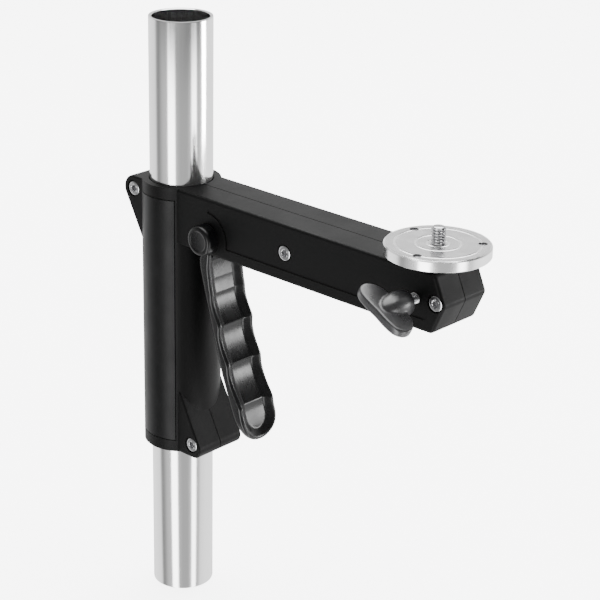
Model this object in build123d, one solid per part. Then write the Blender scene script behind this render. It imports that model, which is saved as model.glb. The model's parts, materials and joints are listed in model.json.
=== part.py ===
from build123d import *
import math
import os

# A length of round studio column with a sliding, turning camera arm. Millimetres, +Z up.
# The origin is the centre of the column's lower end, and the arm points along +X.

# Column
COLUMN_RADIUS = 15.0
COLUMN_WALL = 1.5
COLUMN_LENGTH = 292.0

# Carriage: the sleeve that rides on the column
CARRIAGE_FOOT = 79.3
CARRIAGE_HEIGHT = 135.2
SLEEVE_WALL = 3.4
BORE_GAP = 0.4
BAND_HEIGHT = 5.7
COVER_THICKNESS = 1.5
COVER_HALF_ANGLE = 53.5
SEAM_WIDTH = 0.4
SEAM_DEPTH = 0.4

# Guide bushes
BUSH_WALL = 1.3
BUSH_LENGTH = 16.0
BUSH_INSET = 3.0

# Arm
ARM_WIDTH = 29.0
ARM_HEIGHT = 27.0
ARM_REACH = 155.0
NOSE_LENGTH = 16.1
NOSE_SLOPE = 6.0
ARM_EDGE_RADIUS = 1.5
NOSE_EDGE_RADIUS = 3.0
SHELL_WALL = 3.0
PANEL_DEPTH = 0.4
PANEL_HEIGHT = 16.3
PANEL_BOSS_RADIUS = 12.3
PANEL_MARGIN = 3.0
PANEL_CORNER = 2.0

# Ears that carry the two column-side screws
UPPER_EAR_SCREW_OUT = 2.5
UPPER_EAR_DROP = 6.8
UPPER_EAR_RADIUS = 6.4
UPPER_EAR_HEIGHT = 31.2
LOWER_EAR_SCREW_OUT = 5.6
LOWER_EAR_RISE = 6.5
LOWER_EAR_OUT = 14.4
LOWER_EAR_HEIGHT = 33.5
LOWER_EAR_RADIUS = 4.5
EAR_EDGE_RADIUS = 1.0

# Shell screws
SCREW_RADIUS = 2.0
SCREW_HOLE_GAP = 0.1
SCREW_HEAD_RADIUS = 3.5
SCREW_HEAD_HEIGHT = 4.0
SCREW_SOCKET = 3.0
NUT_WIDTH = 7.0
NUT_HEIGHT = 3.2
HEAD_RECESS = 0.2
HEAD_HOLE_GAP = 0.45
HEAD_CHAMFER = 0.35
NUT_RECESS = 1.0
BOSS_WALL = 2.6
MID_SCREW_SHARE = 0.518
NOSE_SCREW_REACH = 11.2
NOSE_SCREW_RISE = 0.6

# Lever and its pivot
PIVOT_OUT = 16.5
PIVOT_RISE = 7.9
PIVOT_RADIUS = 3.0
PIVOT_CAP_RADIUS = 7.2
PIVOT_CAP_HEIGHT = 6.1
PIVOT_CAP_EDGE_RADIUS = 1.4
LEVER_INSET = 2.7
LEVER_STRIP_SHARE = 0.534
LEVER_RIM_WIDTH = 1.5
LEVER_RIM_RISE = 2.6
LEVER_THICKNESS = 5.2
LEVER_LENGTH = 99.6
LEVER_SHOULDER = 15.5
NECK_GAP = 2.2
HUB_RADIUS = 7.4

# Brake shoe that the lever presses on the column
SHOE_WIDTH = 11.0
SHOE_HEIGHT = 8.0
SHOE_LENGTH = 6.0
SHOE_RISE = 7.6
SHOE_RIM = 0.5
FINGER_DROP = 3.0
FINGER_RISE = 2.5
LINING_THICKNESS = 2.0

# Return spring about the pivot
SPRING_RADIUS = 3.85
SPRING_WIRE = 0.9
SPRING_PITCH = 1.1
SPRING_TURNS = 4.5

# Camera platform
PLATFORM_RADIUS = 23.0
PLATFORM_THICKNESS = 5.0
PLATFORM_LIFT = 2.6
STUD_RADIUS = 3.175
STUD_LENGTH = 7.3
STUD_SHANK_RADIUS = 2.5
STUD_SHANK_DEPTH = 13.0
STUD_CHAMFER = 0.6
DISC_CHAMFER = 0.6
DISC_FOOT_CHAMFER = 0.4
RING_RADII = (4.6, 9.6, 18.4)
RING_WIDTH = 0.7
RING_DEPTH = 0.2
SET_SCREW_RADIUS = 2.0
SET_SCREW_RECESS = 1.0
SET_SCREW_SOCKET = 2.0
SET_SCREW_SOCKET_DEPTH = 1.4
SET_SCREW_INSET = 4.2
SET_SCREW_ANGLE = 41.6
SPINDLE_RADIUS = 6.0
SPINDLE_BUSH_WALL = 1.5
SPINDLE_FLANGE_WIDTH = 3.45
SPINDLE_RECESS = 1.8
CLIP_THICKNESS = 1.2
CLIP_BITE = 0.8
CLIP_SIDE_GAP = 0.9
CLIP_MOUTH = 4.0
CLIP_POCKET_SIDE = 1.3
CLIP_POCKET_DEPTH = 5.0

# Wing screw that locks the platform
WING_SCREW_RADIUS = 2.5
WING_GAP = 5.0
WING_SPAN = 30.0
WING_DEPTH = 13.0
WING_THICKNESS = 4.4
WING_TILT = 28.7
WING_HUB_RADIUS = 5.3
WING_HUB_LENGTH = 19.0
WING_CORNER_RADIUS = 4.5
WING_HUB_SHARE = 0.42
KNOB_SCREW_DEPTH = 12.0
INSERT_WALL = 2.2
INSERT_RECESS = 2.0
PLUG_LENGTH = 2.4

# Fits
RUNNING = 0.05
TOUCH = 0.1
CLEAR = 0.3

# Derived places
CARRIAGE_TOP = CARRIAGE_FOOT + CARRIAGE_HEIGHT
BORE_RADIUS = COLUMN_RADIUS + BORE_GAP
SLEEVE_RADIUS = BORE_RADIUS + SLEEVE_WALL
COVER_SEAT = SLEEVE_RADIUS - COVER_THICKNESS
BUSH_OUTER = COLUMN_RADIUS + RUNNING + BUSH_WALL
HALF_ARM = ARM_WIDTH / 2
ARM_BOTTOM = CARRIAGE_TOP - ARM_HEIGHT
ARM_MIDDLE = CARRIAGE_TOP - ARM_HEIGHT / 2
NOSE_TIP = ARM_REACH + NOSE_LENGTH
CAVITY_START = SLEEVE_RADIUS + SEAM_WIDTH + SEAM_DEPTH
PIVOT_X = BORE_RADIUS + PIVOT_OUT
PIVOT_Z = ARM_BOTTOM + PIVOT_RISE
LEVER_HALF_WIDTH = HALF_ARM - LEVER_INSET
LEVER_STRIP_HALF_WIDTH = LEVER_HALF_WIDTH * LEVER_STRIP_SHARE
LEVER_RIM_HALF_WIDTH = LEVER_HALF_WIDTH - LEVER_RIM_WIDTH
NECK_HALF_WIDTH = HALF_ARM - SHELL_WALL - NECK_GAP
DISC_BASE = CARRIAGE_TOP + PLATFORM_LIFT
DISC_TOP = DISC_BASE + PLATFORM_THICKNESS
SPINDLE_BORE = SPINDLE_RADIUS + RUNNING + SPINDLE_BUSH_WALL
SPINDLE_END = ARM_BOTTOM + SPINDLE_RECESS
CLIP_POCKET_RADIUS = SPINDLE_BORE + CLIP_POCKET_SIDE
CLIP_POCKET_TOP = ARM_BOTTOM + CLIP_POCKET_DEPTH
CLIP_BASE = CLIP_POCKET_TOP - CLEAR - CLIP_THICKNESS
CAVITY_END = ARM_REACH - CLIP_POCKET_RADIUS - SHELL_WALL
COVER_LOW = CARRIAGE_FOOT + BAND_HEIGHT
COVER_HIGH = CARRIAGE_TOP - BAND_HEIGHT
SHOE_Z = PIVOT_Z + SHOE_RISE
SHOE_FACE = COLUMN_RADIUS + TOUCH + LINING_THICKNESS
SHOE_BACK = SHOE_FACE + SHOE_LENGTH
HEAD_SEAT = HALF_ARM - SCREW_HEAD_HEIGHT - HEAD_RECESS
NUT_SEAT = HALF_ARM - NUT_HEIGHT - NUT_RECESS
INSERT_RADIUS = WING_SCREW_RADIUS + RUNNING + INSERT_WALL
INSERT_OUTER_END = -HALF_ARM + INSERT_RECESS
INSERT_INNER_END = -SPINDLE_BORE
KNOB_BASE = -HALF_ARM - WING_GAP
PLUG_INNER_END = -SPINDLE_RADIUS - TOUCH
PLUG_OUTER_END = PLUG_INNER_END - PLUG_LENGTH
SPRING_START = HALF_ARM - SHELL_WALL - SPRING_TURNS * SPRING_PITCH - SPRING_WIRE - CLEAR
HUB_END = SPRING_START - CLEAR
SET_SCREW_CIRCLE = PLATFORM_RADIUS - SET_SCREW_INSET

# Screw places in the XZ plane: upper ear, lower ear, mid arm, nose
SCREWS = [
    (-BORE_RADIUS - UPPER_EAR_SCREW_OUT, CARRIAGE_TOP - UPPER_EAR_DROP),
    (BORE_RADIUS + LOWER_EAR_SCREW_OUT, CARRIAGE_FOOT + LOWER_EAR_RISE),
    (ARM_REACH * MID_SCREW_SHARE, ARM_MIDDLE),
    (ARM_REACH + NOSE_SCREW_REACH, ARM_MIDDLE + NOSE_SCREW_RISE),
]

# The lever's shape in the XZ plane, from its pivot: crests between the finger hollows, how deep
# each hollow is, the two points that end the finger side, and the points down its back
LEVER_CRESTS = [(-4.6, -15.5), (-2.2, -30.0), (3.35, -44.2), (9.17, -62.4), (17.0, -81.0)]
LEVER_HOLLOWS = [0.3, 1.3, 2.2, 2.2]
LEVER_HOLLOW_PLACE = 0.55
LEVER_TOE = [(20.6, -95.0), (20.0, -LEVER_LENGTH)]
LEVER_BACK = [(-0.2, -27.2), (10.6, -64.9), (18.0, -83.1)]
LEVER_BACK_TOP = -8.0
LEVER_TOE_THICKNESS = 1.5
NECK_OUTLINE = [(-8.0, -15.5), (-2.0, -15.5), (3.0, -4.0), (3.0, 0.0), (-7.0, 0.0), (-8.4, -6.0)]
# The hub of the wing knob: shares of its radius at shares of its length
HUB_SWELL = [(0.86, 0), (1, 0.25), (0.97, 0.6), (0.62, 0.92), (0, 1)]


def side_plane(y):
    """An XZ sketch plane at the given Y, whose normal points along -Y."""
    return Plane(origin=(0, y, 0), x_dir=(1, 0, 0), z_dir=(0, -1, 0))


def across(sketch, low, high):
    """Extrude an XZ sketch from Y = low to Y = high."""
    return extrude(side_plane(high) * sketch, high - low)


def rod_y(x, z, radius, low, high):
    """A round bar along Y."""
    return across(Pos(x, z) * Circle(radius), low, high)


def rod_z(x, y, radius, low, high):
    """A round bar along Z."""
    return Pos(x, y, low) * extrude(Circle(radius), high - low)


def block(x_low, x_high, y_low, y_high, z_low, z_high):
    """A box given by its two corners."""
    size = Box(x_high - x_low, y_high - y_low, z_high - z_low, align=Align.MIN)
    return Pos(x_low, y_low, z_low) * size


def arm_outline():
    """Side view of the arm, with its two-faced nose."""
    points = [
        (0, ARM_BOTTOM),
        (NOSE_TIP - NOSE_SLOPE, ARM_BOTTOM),
        (NOSE_TIP, ARM_MIDDLE),
        (NOSE_TIP - NOSE_SLOPE, CARRIAGE_TOP),
        (0, CARRIAGE_TOP),
    ]
    outline = make_face(Polyline(*points, close=True))
    corners = outline.vertices().filter_by(lambda v: v.X > NOSE_TIP - NOSE_SLOPE - 1)
    return fillet(corners, NOSE_EDGE_RADIUS)


def upper_ear_outline():
    """Side view of the ear behind the column, rounded about its screw."""
    x, z = SCREWS[0]
    low = CARRIAGE_TOP - UPPER_EAR_HEIGHT
    high = z + UPPER_EAR_RADIUS
    root = -math.sqrt(SLEEVE_RADIUS**2 - HALF_ARM**2)
    reach = math.hypot(z - low, x - root)
    slope = math.atan2(z - low, x - root) + math.asin(UPPER_EAR_RADIUS / reach)
    corner = (root + (high - low) / math.tan(slope), high)
    outline = make_face(Polyline((root, low), corner, (0, high), (0, low), close=True))
    return fillet(outline.vertices().sort_by(Axis.X)[0], UPPER_EAR_RADIUS)


def lower_ear_outline():
    """Side view of the wedge under the lever."""
    low = CARRIAGE_FOOT
    root = math.sqrt(SLEEVE_RADIUS**2 - HALF_ARM**2)
    high = low + LOWER_EAR_HEIGHT
    toe = (BORE_RADIUS + LOWER_EAR_OUT, low)
    outline = make_face(Polyline((0, low), toe, (root, high), (0, high), close=True))
    return fillet(outline.vertices().sort_by(Axis.X)[-1], LOWER_EAR_RADIUS)


def ear(outline):
    """An ear as wide as the arm, with its free edges rounded."""
    solid = across(outline, -HALF_ARM, HALF_ARM)
    rims = ShapeList()
    for face in solid.faces().filter_by(Axis.Y):
        rims += face.edges().filter_by(lambda e: abs(e.center().X) > SLEEVE_RADIUS / 2)
    return fillet(rims, EAR_EDGE_RADIUS)


def arm_block():
    """The arm as a bar with rounded edges and a two-faced nose."""
    bar = across(arm_outline(), -HALF_ARM, HALF_ARM)
    rims = ShapeList()
    for face in bar.faces().filter_by(Axis.Y):
        rims += face.edges().filter_by(lambda e: e.center().X > SLEEVE_RADIUS)
    return fillet(rims, ARM_EDGE_RADIUS)


def cover_ring(inner, outer, low, high, half_angle):
    """The part of a ring that lies behind the column, open over half_angle each side of +X."""
    ring = rod_z(0, 0, outer, low, high) - rod_z(0, 0, inner, low, high)
    far = 3 * outer
    x, y = far * math.cos(math.radians(half_angle)), far * math.sin(math.radians(half_angle))
    mouth = make_face(Polyline((0, 0), (x, -y), (far, -y), (far, y), (x, y), close=True))
    return ring - Pos(0, 0, low) * extrude(mouth, high - low)


def seam_groove():
    """A fine groove round the plane where the two shells meet."""
    outline = arm_outline() + lower_ear_outline() + upper_ear_outline()
    inner = offset(outline, -SEAM_DEPTH, kind=Kind.INTERSECTION)
    half = SEAM_WIDTH / 2
    return across(outline, -half, half) - across(inner, -half, half)


def panel_recess():
    """The shallow panel in one side of the arm, which stops short of the pivot's boss."""
    length = NOSE_TIP - NOSE_SLOPE - PANEL_MARGIN - PIVOT_X
    panel = RectangleRounded(length, PANEL_HEIGHT, PANEL_CORNER)
    panel = Pos(PIVOT_X + length / 2, ARM_MIDDLE) * panel
    return panel - Pos(PIVOT_X, PIVOT_Z) * Circle(PANEL_BOSS_RADIUS)


def shell_pair():
    """Both shells as one body, before they are split."""
    body = rod_z(0, 0, SLEEVE_RADIUS, CARRIAGE_FOOT, CARRIAGE_TOP)
    body += arm_block()
    body += ear(lower_ear_outline())
    body -= cover_ring(COVER_SEAT, SLEEVE_RADIUS + 1, COVER_LOW, COVER_HIGH, COVER_HALF_ANGLE)
    body += ear(upper_ear_outline())
    cavity = block(CAVITY_START, CAVITY_END, -HALF_ARM + SHELL_WALL, HALF_ARM - SHELL_WALL,
                   ARM_BOTTOM + SHELL_WALL, CARRIAGE_TOP - SHELL_WALL)
    x, z = SCREWS[2]
    cavity -= rod_y(x, z, SCREW_RADIUS + SCREW_HOLE_GAP + BOSS_WALL, -HALF_ARM, HALF_ARM)
    body -= cavity
    body -= rod_z(0, 0, BORE_RADIUS, CARRIAGE_FOOT, CARRIAGE_TOP)
    for low in bush_places():
        body -= rod_z(0, 0, BUSH_OUTER + RUNNING, low - RUNNING, low + BUSH_LENGTH + RUNNING)
    body -= lever_slot()
    half, tall = SHOE_WIDTH / 2 + CLEAR, SHOE_HEIGHT / 2 + CLEAR
    body -= block(0, CAVITY_START + CLEAR, -half, half, SHOE_Z - tall, SHOE_Z + tall)
    body -= rod_z(ARM_REACH, 0, SPINDLE_BORE, ARM_BOTTOM, CARRIAGE_TOP)
    body -= rod_z(ARM_REACH, 0, CLIP_POCKET_RADIUS, ARM_BOTTOM, CLIP_POCKET_TOP)
    body -= rod_y(PIVOT_X, PIVOT_Z, PIVOT_RADIUS + RUNNING, -HALF_ARM, HALF_ARM)
    for x, z in SCREWS:
        body -= rod_y(x, z, SCREW_RADIUS + SCREW_HOLE_GAP, -HALF_ARM, HALF_ARM)
        body -= rod_y(x, z, SCREW_HEAD_RADIUS + HEAD_HOLE_GAP, -2 * HALF_ARM, -HEAD_SEAT)
        body -= across(hexagon(x, z, NUT_WIDTH + 2 * RUNNING), NUT_SEAT, 2 * HALF_ARM)
    body -= across(panel_recess(), -HALF_ARM, -HALF_ARM + PANEL_DEPTH)
    body -= across(panel_recess(), HALF_ARM - PANEL_DEPTH, HALF_ARM)
    body -= wing_bore()
    return body - seam_groove()


def hexagon(x, z, width):
    """A hexagon of the given width across its flats."""
    return Pos(x, z) * RegularPolygon(width / 2, 6, major_radius=False)


def wing_bore():
    """The hole for the wing screw, with the seat of its insert open to the spindle."""
    mouth = rod_y(ARM_REACH, ARM_MIDDLE, WING_SCREW_RADIUS + CLEAR, -2 * HALF_ARM, 0)
    return mouth + rod_y(ARM_REACH, ARM_MIDDLE, INSERT_RADIUS, INSERT_OUTER_END, 0)


def lever_slot():
    """The hole under the arm that the lever hangs through."""
    half, end = NECK_HALF_WIDTH + CLEAR, PIVOT_X + HUB_RADIUS + CLEAR
    return block(CAVITY_START, end, -half, half, ARM_BOTTOM - SHELL_WALL, ARM_BOTTOM + 2 * SHELL_WALL)


def bush_places():
    """The lower end of each guide bush."""
    return [CARRIAGE_FOOT + BUSH_INSET, SHOE_Z - SHOE_HEIGHT / 2 - BUSH_INSET - BUSH_LENGTH]


def half_space(side):
    """Everything on one side of the plane where the shells meet."""
    reach = 2 * NOSE_TIP
    low, high = (-reach, 0) if side < 0 else (0, reach)
    return block(-reach, reach, low, high, 0, 2 * CARRIAGE_TOP)


def column_tube():
    """The round column, open at both ends."""
    tube = rod_z(0, 0, COLUMN_RADIUS, 0, COLUMN_LENGTH)
    return tube - rod_z(0, 0, COLUMN_RADIUS - COLUMN_WALL, 0, COLUMN_LENGTH)


def sleeve_cover():
    """A thin skin behind the column, notched round the upper ear."""
    low, high = COVER_LOW + SEAM_WIDTH, COVER_HIGH - SEAM_WIDTH
    half_angle = COVER_HALF_ANGLE + math.degrees(SEAM_WIDTH / SLEEVE_RADIUS)
    skin = cover_ring(COVER_SEAT, SLEEVE_RADIUS, low, high, half_angle)
    notch = offset(upper_ear_outline(), SEAM_WIDTH / 2, kind=Kind.INTERSECTION)
    return skin - across(notch, -HALF_ARM - SEAM_WIDTH / 2, HALF_ARM + SEAM_WIDTH / 2)


def guide_bush(low):
    """A plain ring that runs on the column."""
    high = low + BUSH_LENGTH
    return rod_z(0, 0, BUSH_OUTER, low, high) - rod_z(0, 0, COLUMN_RADIUS + RUNNING, low, high)


def shell_screws():
    """Socket-head screws through both shells."""
    top = -HEAD_SEAT - SCREW_HEAD_HEIGHT
    screws = []
    for x, z in SCREWS:
        screw = rod_y(x, z, SCREW_HEAD_RADIUS, top, -HEAD_SEAT)
        screw = chamfer(screw.edges().group_by(Axis.Y)[0], HEAD_CHAMFER)
        screw += rod_y(x, z, SCREW_RADIUS, -HEAD_SEAT, NUT_SEAT + NUT_HEIGHT)
        screws.append(screw - across(hexagon(x, z, SCREW_SOCKET), top, top + SCREW_HEAD_HEIGHT / 2))
    return Compound(screws)


def shell_nuts():
    """Hexagon nuts, each let into the rear shell."""
    nuts = []
    for x, z in SCREWS:
        nut = across(hexagon(x, z, NUT_WIDTH), NUT_SEAT, NUT_SEAT + NUT_HEIGHT)
        nuts.append(nut - rod_y(x, z, SCREW_RADIUS, NUT_SEAT, NUT_SEAT + NUT_HEIGHT))
    return Compound(nuts)


def pivot_pin():
    """The pin that the lever turns on."""
    return rod_y(PIVOT_X, PIVOT_Z, PIVOT_RADIUS, -HALF_ARM, HALF_ARM)


def pivot_cap(side):
    """A round cap over one end of the pivot pin."""
    low, high = sorted([side * HALF_ARM, side * (HALF_ARM + PIVOT_CAP_HEIGHT)])
    cap = rod_y(PIVOT_X, PIVOT_Z, PIVOT_CAP_RADIUS, low, high)
    rim = cap.edges().group_by(Axis.Y)[0 if side < 0 else -1]
    return fillet(rim, PIVOT_CAP_EDGE_RADIUS)


def from_pivot(points):
    """Points of the XZ plane given from the pivot, moved to their place."""
    return [(PIVOT_X + x, PIVOT_Z + z) for x, z in points]


def strip_line():
    """The finger side of the lever at its middle, from under the arm to its tip, in the XZ plane."""
    return from_pivot(LEVER_CRESTS + LEVER_TOE)


def finger_wave(rise):
    """The lever's finger side, moved out by rise: hollows for the fingers between low ridges."""
    points = [(x + rise, z) for x, z in strip_line()]
    edges = []
    for a, b, depth in zip(points, points[1:], LEVER_HOLLOWS):
        dx, dz = b[0] - a[0], b[1] - a[1]
        bow = depth / math.hypot(dx, dz)
        x = a[0] + dx * LEVER_HOLLOW_PLACE + dz * bow
        z = a[1] + dz * LEVER_HOLLOW_PLACE - dx * bow
        edges.append(ThreePointArc(a, (x, z), b))
    edges.append(Spline(*points[len(LEVER_HOLLOWS):]))
    return edges


def lever_side_view(rise):
    """Side view of the lever below the arm."""
    front = finger_wave(rise)
    first, last = front[0] @ 0, front[-1] @ 1
    back = [(x - LEVER_THICKNESS, z) for x, z in from_pivot(LEVER_BACK)]
    start = (PIVOT_X + LEVER_BACK_TOP, first.Y)
    end = (last.X - LEVER_TOE_THICKNESS, last.Y)
    line = Polyline((last.X, last.Y), end)
    rear = Spline(end, *reversed(back), start)
    top = Polyline(start, (first.X, first.Y))
    return make_face(Wire(edges_of(front) + edges_of([line, rear, top])))


def edges_of(curves):
    """Every edge of a list of curves."""
    return [edge for curve in curves for edge in curve.edges()]


def lever():
    """The squeeze handle, with its hub, its cam finger and a hollow front for the fingers."""
    paddle = across(lever_side_view(LEVER_RIM_RISE), -LEVER_HALF_WIDTH, LEVER_HALF_WIDTH)
    height = LEVER_LENGTH - LEVER_SHOULDER
    toe = PIVOT_Z - LEVER_LENGTH + LEVER_HALF_WIDTH
    front_view = Plane.YZ * (Pos(0, toe) * Circle(LEVER_HALF_WIDTH))
    front_view += Plane.YZ * (Pos(0, toe + height / 2) * Rectangle(2 * LEVER_HALF_WIDTH, height))
    paddle &= extrude(front_view, 4 * PIVOT_X)
    paddle -= finger_channel()
    neck = make_face(Polyline(*from_pivot(NECK_OUTLINE), close=True))
    body = paddle + across(neck, -NECK_HALF_WIDTH, NECK_HALF_WIDTH)
    body += rod_y(PIVOT_X, PIVOT_Z, HUB_RADIUS, -NECK_HALF_WIDTH, HUB_END)
    body += block(SHOE_BACK + CLEAR, PIVOT_X, SHOE_RIM - SHOE_WIDTH / 2, HUB_END,
                  SHOE_Z - FINGER_DROP, SHOE_Z + FINGER_RISE)
    body -= rod_y(PIVOT_X, PIVOT_Z, SPRING_RADIUS + SPRING_WIRE, HUB_END, HALF_ARM)
    return body - rod_y(PIVOT_X, PIVOT_Z, PIVOT_RADIUS + RUNNING, -HALF_ARM, HALF_ARM)


def finger_channel():
    """The hollow between the lever's two rims: a flat floor with sloping sides."""
    reach = 4 * PIVOT_X
    wires = []
    for rise in (0.0, LEVER_RIM_RISE):
        wave = finger_wave(rise)
        first, last = wave[0] @ 0, wave[-1] @ 1
        rest = Polyline((last.X, last.Y), (reach, last.Y), (reach, first.Y), (first.X, first.Y))
        wires.append(make_face(Wire(edges_of(wave) + edges_of([rest]))))
    floor, rim = wires
    channel = across(floor, -LEVER_STRIP_HALF_WIDTH, LEVER_STRIP_HALF_WIDTH)
    for side in (-1, 1):
        inner = side_plane(side * LEVER_STRIP_HALF_WIDTH) * floor
        outer = side_plane(side * LEVER_RIM_HALF_WIDTH) * rim
        channel += loft([inner, outer], ruled=True)
    return channel


def return_spring():
    """A torsion spring round the pivot pin."""
    height = SPRING_TURNS * SPRING_PITCH
    path = Helix(SPRING_PITCH, height, SPRING_RADIUS)
    wire = sweep(Plane(origin=path @ 0, z_dir=path % 0) * Circle(SPRING_WIRE / 2), path, is_frenet=True)
    start = (PIVOT_X, SPRING_START + SPRING_WIRE / 2, PIVOT_Z)
    return Plane(origin=start, x_dir=(1, 0, 0), z_dir=(0, 1, 0)) * wire


def brake_shoe():
    """The block that carries the lining."""
    half, tall = SHOE_WIDTH / 2, SHOE_HEIGHT / 2
    shoe = block(COLUMN_RADIUS, SHOE_BACK, -half, half, SHOE_Z - tall, SHOE_Z + tall)
    return shoe - rod_z(0, 0, SHOE_FACE, SHOE_Z - tall, SHOE_Z + tall)


def brake_lining():
    """The friction pad that bears on the column."""
    half, tall = SHOE_WIDTH / 2 - SHOE_RIM, SHOE_HEIGHT / 2 - SHOE_RIM
    pad = block(0, SHOE_BACK, -half, half, SHOE_Z - tall, SHOE_Z + tall)
    pad &= rod_z(0, 0, SHOE_FACE, SHOE_Z - tall, SHOE_Z + tall)
    return pad - rod_z(0, 0, COLUMN_RADIUS + TOUCH, SHOE_Z - tall, SHOE_Z + tall)


def set_screw_places():
    """Centres of the three set screws in the camera platform."""
    places = []
    for turn in range(3):
        angle = math.radians(SET_SCREW_ANGLE + 120 * turn)
        places.append((ARM_REACH + SET_SCREW_CIRCLE * math.cos(angle), SET_SCREW_CIRCLE * math.sin(angle)))
    return places


def platform_disc():
    """The round camera platform, with turned rings in its face."""
    disc = rod_z(ARM_REACH, 0, PLATFORM_RADIUS, DISC_BASE, DISC_TOP)
    disc = chamfer(disc.edges().group_by(Axis.Z)[-1], DISC_CHAMFER)
    disc = chamfer(disc.edges().group_by(Axis.Z)[0], DISC_FOOT_CHAMFER)
    for radius in RING_RADII:
        groove = rod_z(ARM_REACH, 0, radius + RING_WIDTH / 2, DISC_TOP - RING_DEPTH, DISC_TOP)
        disc -= groove - rod_z(ARM_REACH, 0, radius - RING_WIDTH / 2, DISC_TOP - RING_DEPTH, DISC_TOP)
    for x, y in set_screw_places():
        disc -= rod_z(x, y, SET_SCREW_RADIUS, DISC_BASE, DISC_TOP)
    return disc - rod_z(ARM_REACH, 0, STUD_SHANK_RADIUS, DISC_BASE, DISC_TOP)


def camera_stud():
    """The threaded stud that enters the camera, on a thinner shank pressed into the platform."""
    stud = rod_z(ARM_REACH, 0, STUD_RADIUS, DISC_TOP, DISC_TOP + STUD_LENGTH)
    stud = chamfer(stud.edges().group_by(Axis.Z)[-1], STUD_CHAMFER)
    return stud + rod_z(ARM_REACH, 0, STUD_SHANK_RADIUS, DISC_TOP - STUD_SHANK_DEPTH, DISC_TOP)


def platform_set_screws():
    """Three set screws that stop a camera from turning on the platform."""
    screws = []
    for x, y in set_screw_places():
        top = DISC_TOP - SET_SCREW_RECESS
        screw = rod_z(x, y, SET_SCREW_RADIUS, DISC_BASE + DISC_FOOT_CHAMFER, top)
        socket = extrude(RegularPolygon(SET_SCREW_SOCKET / 2, 6, major_radius=False), SET_SCREW_SOCKET_DEPTH)
        screws.append(screw - Pos(x, y, top - SET_SCREW_SOCKET_DEPTH) * socket)
    return Compound(screws)


def platform_spindle():
    """The shaft under the platform, grooved for its clip."""
    shaft = rod_z(ARM_REACH, 0, SPINDLE_RADIUS, SPINDLE_END, DISC_BASE)
    shaft -= rod_z(ARM_REACH, 0, STUD_SHANK_RADIUS, DISC_TOP - STUD_SHANK_DEPTH, DISC_BASE)
    low, high = CLIP_BASE, CLIP_BASE + CLIP_THICKNESS
    ring = rod_z(ARM_REACH, 0, SPINDLE_RADIUS, low, high)
    return shaft - (ring - rod_z(ARM_REACH, 0, SPINDLE_RADIUS - CLIP_BITE, low, high))


def spindle_clip():
    """The open ring that keeps the spindle in the arm."""
    low, high, half = CLIP_BASE, CLIP_BASE + CLIP_THICKNESS, CLIP_MOUTH / 2
    ring = rod_z(ARM_REACH, 0, CLIP_POCKET_RADIUS - CLIP_SIDE_GAP, low, high)
    ring -= rod_z(ARM_REACH, 0, SPINDLE_RADIUS - CLIP_BITE, low, high)
    return ring - block(ARM_REACH, ARM_REACH + 3 * SPINDLE_RADIUS, -half, half, low, high)


def upper_spindle_bush():
    """The flanged bush that the platform turns on."""
    low = ARM_MIDDLE + INSERT_RADIUS
    bush = rod_z(ARM_REACH, 0, SPINDLE_BORE, low, CARRIAGE_TOP)
    flange_radius = SPINDLE_BORE + SPINDLE_FLANGE_WIDTH
    bush += rod_z(ARM_REACH, 0, flange_radius, CARRIAGE_TOP, DISC_BASE - CLEAR)
    return bush - rod_z(ARM_REACH, 0, SPINDLE_RADIUS + RUNNING, low, DISC_BASE)


def lower_spindle_bush():
    """The plain bush at the foot of the spindle."""
    low, high = CLIP_POCKET_TOP, ARM_MIDDLE - INSERT_RADIUS
    bush = rod_z(ARM_REACH, 0, SPINDLE_BORE, low, high)
    return bush - rod_z(ARM_REACH, 0, SPINDLE_RADIUS + RUNNING, low, high)


def screw_insert():
    """The threaded insert that the wing screw runs in."""
    low, high = INSERT_OUTER_END, INSERT_INNER_END
    insert = rod_y(ARM_REACH, ARM_MIDDLE, INSERT_RADIUS, low, high)
    return insert - rod_y(ARM_REACH, ARM_MIDDLE, WING_SCREW_RADIUS + RUNNING, low, high)


def clamp_plug():
    """The soft plug between the wing screw and the spindle."""
    plug = rod_y(ARM_REACH, ARM_MIDDLE, WING_SCREW_RADIUS, PLUG_OUTER_END, 0)
    return plug - rod_z(ARM_REACH, 0, SPINDLE_RADIUS + TOUCH, 0, 2 * CARRIAGE_TOP)


def wing_screw():
    """The threaded shank of the wing screw."""
    outer_end = KNOB_BASE - KNOB_SCREW_DEPTH
    return rod_y(ARM_REACH, ARM_MIDDLE, WING_SCREW_RADIUS, outer_end, PLUG_OUTER_END)


def hub_outline():
    """Half of the wing knob's hub, which swells and then closes to a dome."""
    r, length = WING_HUB_RADIUS, WING_HUB_LENGTH
    swell = [(r * share, length * along) for share, along in HUB_SWELL]
    foot, axis = Polyline((0, 0), swell[0]), Polyline(swell[-1], (0, 0))
    return make_face(edges_of([foot, Spline(*swell), axis]))


def wing_knob():
    """The two-winged knob on the wing screw."""
    knob = revolve(Plane.XZ * hub_outline(), Axis.Z)
    wings = RectangleRounded(WING_SPAN, WING_DEPTH, WING_CORNER_RADIUS)
    wings = Pos(0, WING_HUB_LENGTH * WING_HUB_SHARE + WING_DEPTH / 2) * wings
    knob += extrude(Plane.XZ * wings, WING_THICKNESS / 2, both=True)
    knob -= extrude(Circle(WING_SCREW_RADIUS), KNOB_SCREW_DEPTH)
    tilt = math.radians(WING_TILT)
    place = Plane(origin=(ARM_REACH, KNOB_BASE, ARM_MIDDLE), x_dir=(math.cos(tilt), 0, -math.sin(tilt)),
                  z_dir=(0, -1, 0))
    return place * knob


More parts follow.
